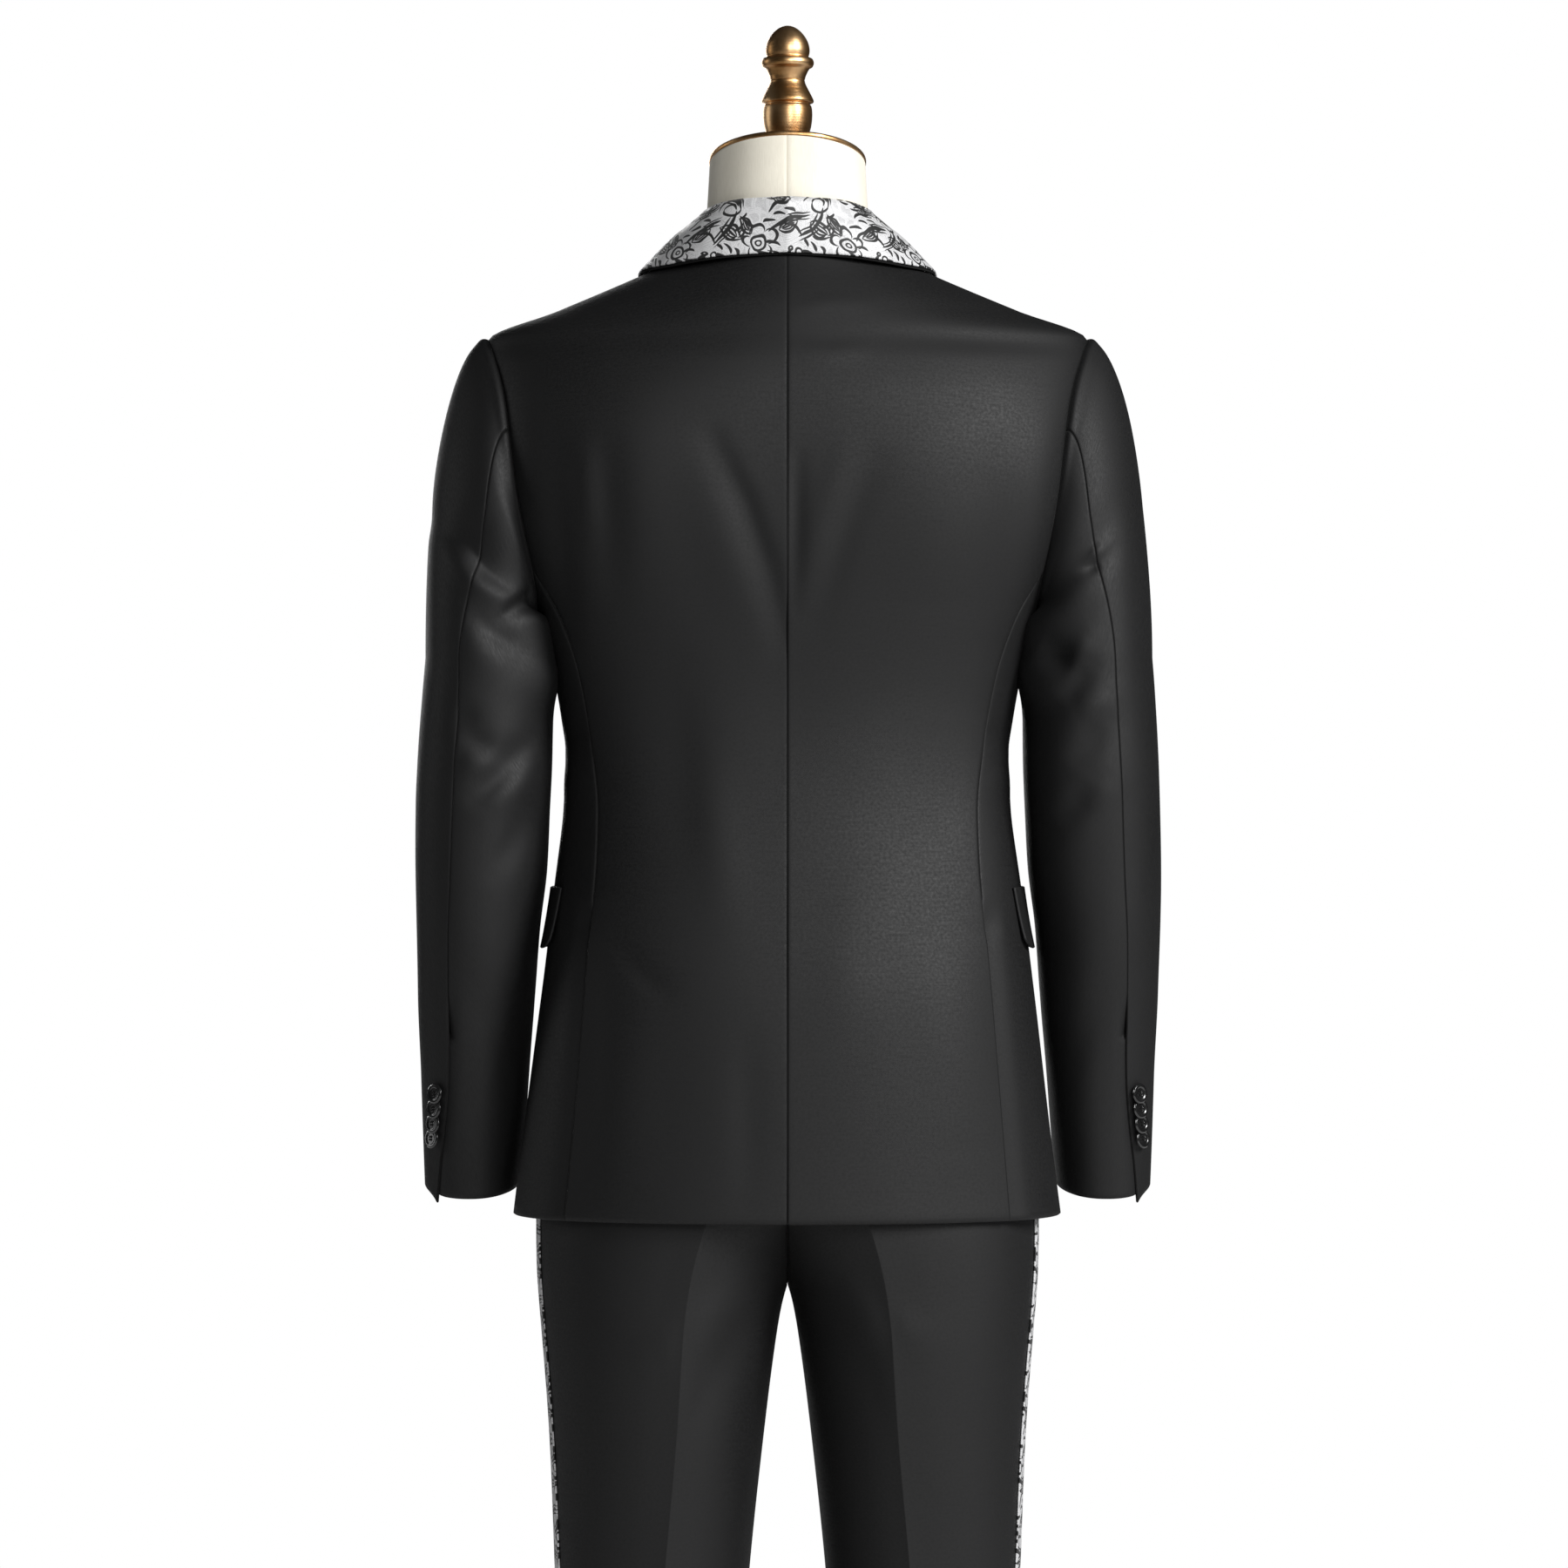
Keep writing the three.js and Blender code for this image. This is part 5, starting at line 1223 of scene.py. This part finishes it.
def collar_sections(rows, step):
    """Sections of the collar: foot of the stand, over the roll line, down to the outer edge."""
    size, hand = np.abs(step), np.where(step < 0, -1, 1)
    at = lambda key: along(rows, key, size, "step")
    roll = points(at("rollX"), at("rollY"), at("rollZ"))
    edge = points(at("edgeX"), at("edgeY"), at("edgeZ"))
    edge[..., 2] = np.maximum(edge[..., 2], shoulder_height(edge[..., 0], edge[..., 1]) + 4.2)
    out = unit(edge * (1, 1, 0))
    foot = ring_point(BODY, angle_of(roll), np.minimum(NECKLINE, roll[..., 2] - 16))
    foot = foot - out * 0.6 + (0, 0, SEAM)
    inner = roll - out * 2.2 - (0, 0, 2.2)
    outer = roll + out * 2.2 - (0, 0, 2.2)
    middle = mix(outer, edge, 0.5) + out * 1.5 + (0, 0, 1.5)
    section = np.stack([foot, inner, roll, outer, mix(outer, middle, 0.5), middle, edge], axis=-2)
    section[..., 0] *= hand[..., None]
    return section


def build_collar():
    rows = collar_table()
    count = 221
    step = np.linspace(-1, 1, count)
    section = collar_sections(rows, step)
    stand = smooth_line(section[..., :4, :], 25)
    fall = smooth_line(section[..., 3:, :], 34)[..., 1:, :]
    face = np.concatenate([stand, fall], axis=-2)
    face = np.swapaxes(face, 0, 1)[::-1]
    cloth("collar_brocade", face, BROCADE, BROCADE_CLOTH, "collar")
    step = np.linspace(-0.74, 0.74, 121)
    section = collar_sections(rows, step)[..., 4:, :]
    last = section[..., -1, :] + 1.7 * unit(section[..., -1, :] - section[..., -2, :])
    section = np.concatenate([section[..., :-1, :], last[..., None, :]], axis=-2)
    face = np.swapaxes(smooth_line(section, 14), 0, 1)[::-1]
    face = lifted(face, np.full(face.shape[:2], -BROCADE - SEAM))
    cloth("under_collar_felt", face, FELT, FELT_CLOTH, "under_collar")


def build_lapel(side, mirror):
    rows, columns = ((150, 44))
    step = np.linspace(0, 0.975, rows)[:, None]
    across = np.linspace(0, 1, columns)[None, :]
    face = lapel_base(*np.broadcast_arrays(step, across))
    belly = 0.8 * np.sin(np.pi * across) * np.sin(np.pi * np.clip(step, 0, 1)) ** 0.5
    face = face[:, ::-1]
    face = lifted(face, np.broadcast_to(belly, face.shape[:2])[:, ::-1])
    cloth(f"lapel_brocade_{side}", face, BROCADE, BROCADE_CLOTH, f"lapel_{side}",
          mirror=mirror)


# A flap's upper and lower edge, and the angles where it begins and ends
FLAP_TOP, FLAP_LOW, FLAP_BACK, FLAP_FRONT = 1091, 1046, 76, 131


def build_flap(side, mirror):
    """A pocket flap hangs a little away from the body, its lower corners rounded."""
    down = np.linspace(1, 0, 30)[:, None]
    share = np.linspace(0, 1, 70)[None, :]
    down, share = np.broadcast_arrays(down, share)
    corner = 7 * (np.exp(-share / 0.04) + np.exp(-(1 - share) / 0.04)) * down**3
    z = mix(FLAP_TOP, FLAP_LOW, down) + corner
    angle = mix(FLAP_BACK, FLAP_FRONT, share) + 1.2 * down * (1 - smooth(share, 0, 0.14))
    height = WOOL + 0.8 + 2 * down**2 + 0.4 * np.sin(share * 9) * down
    face = lifted(ring_point(BODY, angle, z), height)
    cloth(f"flap_{side}", face, WOOL, WOOL_CLOTH, f"pocket_flap_{side}",
          mirror=mirror)


# Trousers

# Half a seam's gap as a turn of the leg and of the waistband
LEG_GAP, WAIST_GAP = np.degrees(SEAM / 160), 0.1


def leg_point(turn, z):
    turn, z = np.broadcast_arrays(np.radians(turn), np.asarray(z, float))
    deep_key = np.where(np.cos(turn) >= 0, along(LEG, "back", z), along(LEG, "front", z))
    side_key = np.where(np.sin(turn) >= 0, along(LEG, "outer", z), along(LEG, "inner", z))
    across, deep = np.abs(np.sin(turn)) / side_key, np.abs(np.cos(turn)) / deep_key
    radius = (across**LEG_POWER + deep**LEG_POWER) ** (-1 / LEG_POWER)
    x = along(LEG, "middle", z) + radius * np.sin(turn)
    return points(x, along(LEG, "shift", z) + radius * np.cos(turn), z)


def inner_turn(z, back):
    """Turn at which the leg's ring meets the inseam, or the middle plane above the crotch."""
    low, high = np.full(z.shape, -90.0), np.zeros(z.shape)
    for _ in range(30):
        middle = (low + high) / 2
        inside = leg_point(middle if back else 180 - middle, z)[..., 0] < -SEAM
        low, high = np.where(inside, middle, low), np.where(inside, high, middle)
    return np.where(z <= CROTCH, -90 + LEG_GAP, high)


LEG_FOLDS = {
    "left": [
        ([(40, 800), (70, 770), (100, 752)], 14, 18, 1.6),
        ([(24, 780), (52, 740), (74, 700)], 14, 16, -1.8),
        ([(150, 620), (154, 540), (150, 460)], 20, 24, 1.4),
        ([(64, 440), (96, 418), (138, 424)], 14, 18, -1.8),
        ([(70, 120), (106, 104), (140, 116)], 12, 16, 2.0),
    ],
    "right": [
        ([(36, 806), (66, 778), (98, 764)], 12, 18, 1.8),
        ([(22, 790), (50, 752), (70, 712)], 14, 16, -1.6),
        ([(146, 640), (152, 560), (150, 480)], 22, 24, 1.4),
        ([(60, 452), (94, 430), (136, 440)], 16, 18, -1.8),
        ([(68, 132), (102, 112), (142, 122)], 12, 16, 2.0),
    ],
}


CREASE_HEIGHT, CREASE_SPREAD = 6, 13
LEG_PITCH = 6


def crease_turn(z):
    """The pressed crease leans inward from the knee up."""
    return -10 * smooth(z, 300, 760)


def leg_face(turn, z, side, extra=0.0):
    """The trouser leg with its pressed crease, a sharp ridge between two flat faces."""
    face = leg_point(turn, z)
    toward = np.where(np.cos(np.radians(turn)) >= 0, turn, 180 - turn)
    off = toward - crease_turn(z)
    fade = 1 - smooth(z, 880, 985)
    near = 1 - smooth(np.abs(off), CREASE_SPREAD, 3 * CREASE_SPREAD)
    crease = CREASE_HEIGHT * fade * near * np.exp(-np.abs(off) / CREASE_SPREAD)
    folds = fold_height(face[..., 0], z, LEG_FOLDS[side])
    folds = folds + 0.6 * ripple(*np.moveaxis(face, -1, 0), 210, 61)
    return lifted(face, crease + folds * (1 - np.exp(-((off / 6) ** 2)) * fade) + extra)


def leg_rows():
    """Heights of the leg's grid rows, closer where the legs join."""
    below, join = CROTCH - 14, CROTCH + 18
    parts = [spread(TROUSER_HEM, below, LEG_PITCH)[:-1], spread(below, join, LEG_PITCH / 2)[:-1]]
    return np.concatenate([*parts, spread(join, WAIST_SEAM - SEAM, LEG_PITCH)])


def build_leg(side, mirror):
    """Back and front of one leg, their columns closer along the crease."""
    z = leg_rows()
    closer = np.linspace(0, 1, 34) ** 1.7
    for back in (True, False):
        inner = inner_turn(z, back)[:, None]
        middle = np.maximum(crease_turn(z)[:, None], inner + 4)
        toward = mix(inner, middle, 1 - closer[::-1])
        away = mix(middle, 90 - LEG_GAP, closer[1:])
        turn = np.concatenate([toward, away], axis=1)
        rise = np.broadcast_to(z[:, None], turn.shape)
        if not back:
            turn, rise = (180 - turn)[:, ::-1], rise[:, ::-1]
        across = arc_lengths(leg_point(turn, rise), 1)
        seam = np.minimum(across, across[:, -1:] - across)
        face = leg_face(turn, rise, side, seam_dip(seam))
        part = "back" if back else "front"
        cloth(f"trouser_{part}_{side}_cloth", face, WOOL, WOOL_CLOTH, f"trouser_{part}_{side}",
              mirror=mirror, seam=seam)


def build_waistband(side, mirror):
    z = np.linspace(WAIST_SEAM, WAIST_TOP, 14)[:, None]
    turn = np.linspace(WAIST_GAP, 180 - WAIST_GAP, 120)[None, :]
    turn, z = np.broadcast_arrays(turn, z)
    cloth(f"waistband_{side}_cloth", leg_point(turn, z), WOOL, WOOL_CLOTH, f"waistband_{side}",
          mirror=mirror)


def build_stripe(side, mirror):
    """The brocade braid down the outseam, domed a little and stitched along both edges."""
    rows = leg_rows()
    z = np.append(rows[rows < STRIPE_TOP], STRIPE_TOP)[:, None]
    length = np.linspace(STRIPE_BACK, STRIPE_FRONT, 25)
    share = np.linspace(-1, 1, 25)
    turn = 90 - np.degrees(length / along(LEG, "outer", z))
    rise = np.broadcast_to(z, turn.shape)
    plain = leg_face(turn, rise, side)
    from_edge = (1 - np.abs(share)) * (STRIPE_BACK - STRIPE_FRONT) / 2
    stitched = seam_dip(from_edge - 1.6, 0.25, 0.5)
    face = lifted(plain, 0.4 + STRIPE_WALL + 0.15 * (1 - share**2) + stitched + np.zeros(turn.shape))
    cloth(f"stripe_{side}", face, STRIPE_WALL, BROCADE_CLOTH, f"side_stripe_{side}",
          mirror=mirror, edge=0.3)


# Dress form and stand

# Panels of the form's cover meet at these angles, and a seam is a groove of this depth and width
FORM_SEAMS = (0, 90, 180)
FORM_SEAM_DEPTH, FORM_SEAM_WIDTH = 0.5, 1.1
FORM_NECK_RADIUS = 60


def build_form():
    """Cloth-covered form: panels meet in seams at the back, the sides and the front."""
    around, count = ((216, 170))
    angle = np.linspace(0, 360, around, endpoint=False)[None, :]
    torso = ring_point(FORM, angle, FORM["z"][:, None])
    shoulder_z = np.array([1499, 1512, 1528, 1545])[:, None]
    turned, rise = np.broadcast_arrays(angle, shoulder_z * np.ones_like(angle))
    end = 13 * np.abs(np.sin(np.radians(turned))) ** 6 * (1 - smooth(rise, SHOULDER, 1522))
    inset = (FORM_CLEAR + end)[..., None]
    shoulders = ring_point(BODY, turned, rise) - ring_normal(BODY, turned, rise) * inset
    top = CAP_Z - CAP_THICKNESS / 2 - SEAM
    neck_z = np.array([1560, 1575, 1592, 1612, top])[:, None]
    neck = ring_point(NECK, angle, neck_z)
    neck[..., 2] += neck[..., 1] * math.tan(NECK_TILT) * smooth(neck_z, 1580, top)
    rings = np.concatenate([torso, shoulders, neck])
    face = np.swapaxes(smooth_line(np.swapaxes(rings, 0, 1), count), 0, 1)
    turn = np.abs((angle + 180) % 360 - 180)
    from_seam = np.min([np.abs(turn - seam) for seam in FORM_SEAMS], axis=0)
    from_seam = np.radians(from_seam) * FORM_NECK_RADIUS * np.ones((count, 1))
    face = lifted(face, seam_dip(from_seam, FORM_SEAM_DEPTH, FORM_SEAM_WIDTH))
    piece = closed_tube("form_cover", face, LINEN, "dress_form")
    across = np.radians(angle) * FORM_NECK_RADIUS * np.ones((count, 1))
    weave = np.stack([across, arc_lengths(face, 0), from_seam], axis=-1)
    set_attribute(piece.data, "weave", weave.reshape(-1, 3))


def turned_piece(name, outline, node, around=96, tilt=0.0, centre=(0, 0, 0)):
    """A brass profile of (radius, height) turned round an upright axis, then tilted and put in place."""
    outline = np.array(outline, float)
    turn = np.linspace(0, 2 * np.pi, around, endpoint=False)
    rings = points(outline[:, [0]] * np.cos(turn), outline[:, [0]] * np.sin(turn), outline[:, [1]])
    cosine, sine = math.cos(tilt), math.sin(tilt)
    tilted = rings @ np.array([[1, 0, 0], [0, cosine, sine], [0, -sine, cosine]]) + centre
    closed_tube(name, tilted, BRASS, node)


def rounded(radius, low, high, edge):
    """Outline of a disc or rod with rounded edges."""
    bend = np.linspace(0, math.pi / 2, 7)
    below = [(radius - edge + edge * math.sin(a), low + edge - edge * math.cos(a)) for a in bend]
    above = [(radius - edge + edge * math.cos(a), high - edge + edge * math.sin(a)) for a in bend]
    return below + above


def build_hardware():
    half = CAP_THICKNESS / 2
    rim = rounded(CAP_RADIUS, -half, half, 1.9)
    turned_piece("cap_rim", rim, "neck_cap", 160, NECK_TILT, (0, 0, CAP_Z))
    start = CAP_Z + half / math.cos(NECK_TILT) + 5.2
    shaft = [(FINIAL[0][0], start), *[row for row in FINIAL if row[1] > start]]
    turned_piece("finial_turned", smooth_line(shaft, 120), "finial")
    rod = rounded(POLE_RADIUS, BASE_THICKNESS + SEAM, FORM_BOTTOM - SEAM, 0.8)
    for side, x in (("left", POLE_X), ("right", -POLE_X)):
        turned_piece(f"pole_{side}_rod", rod, f"pole_{side}", 48, 0.0, (x, 0, 0))
    turned_piece("base_disc", rounded(BASE_RADIUS, 0, BASE_THICKNESS, 3), "base", 192)


for side, mirror in (("left", False), ("right", True)):
    build_back(side, mirror)
    build_side(side, mirror)
    build_front(side, mirror)
    build_sleeve(side, mirror)
    build_cuff_buttons(side, mirror)
    build_lapel(side, mirror)
    build_flap(side, mirror)
    build_leg(side, mirror)
    build_waistband(side, mirror)
    build_stripe(side, mirror)
build_collar()
build_form()
build_hardware()
build_front_button()


# Room, lights and camera, in metres

def add_floor():
    bpy.ops.mesh.primitive_circle_add(vertices=96, radius=3.4, fill_type="NGON", location=(0, 0, -0.0005))
    floor = bpy.context.object
    floor.name = "studio_floor"
    material, paint, shader = new_material("pale_floor", Roughness=0.6, Specular_IOR_Level=0.2)
    place = paint.node("TexCoord", {}, {}, 3)
    tone = noise(paint, place, 3.0, 2)
    connect(paint, shader, Base_Color=blend_colour(paint, tone, grey(0.78), grey(0.84)))
    floor.data.materials.append(material)


def add_light(name, place, target, width, height, power):
    """A soft box that faces a target."""
    lamp = bpy.data.lights.new(name, "AREA")
    lamp.shape, lamp.size, lamp.size_y, lamp.energy = "RECTANGLE", width, height, power
    holder = bpy.data.objects.new(name, lamp)
    bpy.context.scene.collection.objects.link(holder)
    way = unit(np.array(target, float) - np.array(place, float))
    holder.location = place
    holder.rotation_mode = "QUATERNION"
    holder.rotation_quaternion = Vector(way).to_track_quat("-Z", "Y")


def add_lights():
    add_light("key_right", (-2.9, 2.3, 3.1), (0, 0, 1.2), 1.3, 1.6, 195)
    add_light("sheen_right", (-1.15, 3.95, 2.6), (0, 0, 1.2), 0.9, 1.5, 82)
    add_light("fill_left", (3.0, -0.7, 1.9), (0, 0, 1.2), 0.8, 1.8, 10)
    add_light("front_fill", (0.9, -3.2, 1.9), (0, 0, 1.1), 1.6, 1.6, 50)


def add_world():
    """A white background for the camera, and a dimmer grey that lights the cloth."""
    world = bpy.data.worlds.new("white_room")
    bpy.context.scene.world = world
    world.use_nodes = True
    paint = Wire(world.node_tree)
    world.node_tree.nodes.clear()
    seen = paint.node("LightPath", {}, {}, 0)
    dim = paint.node("Background", {}, {"Color": (0.9, 0.95, 1, 1), "Strength": 0.025})
    white = paint.node("Background", {}, {"Color": (1, 1, 1, 1), "Strength": 1.0})
    both = paint.node("MixShader", {}, {0: seen, 1: dim, 2: white})
    end = world.node_tree.nodes.new("ShaderNodeOutputWorld")
    world.node_tree.links.new(both.socket, end.inputs[0])


def add_camera():
    """4.2 m behind the garment, level with its middle; 36 mm of film see 1.17 m of it."""
    camera = bpy.data.cameras.new("back_view")
    camera.lens = 129.2
    camera.sensor_width = 36
    holder = bpy.data.objects.new("back_view", camera)
    bpy.context.scene.collection.objects.link(holder)
    holder.location = (0.0026, 4.2, 1.168)
    holder.rotation_euler = (math.pi / 2, 0, math.pi)
    bpy.context.scene.camera = holder


add_floor()
add_lights()
add_world()
add_camera()
bpy.context.scene.view_settings.view_transform = "Standard"
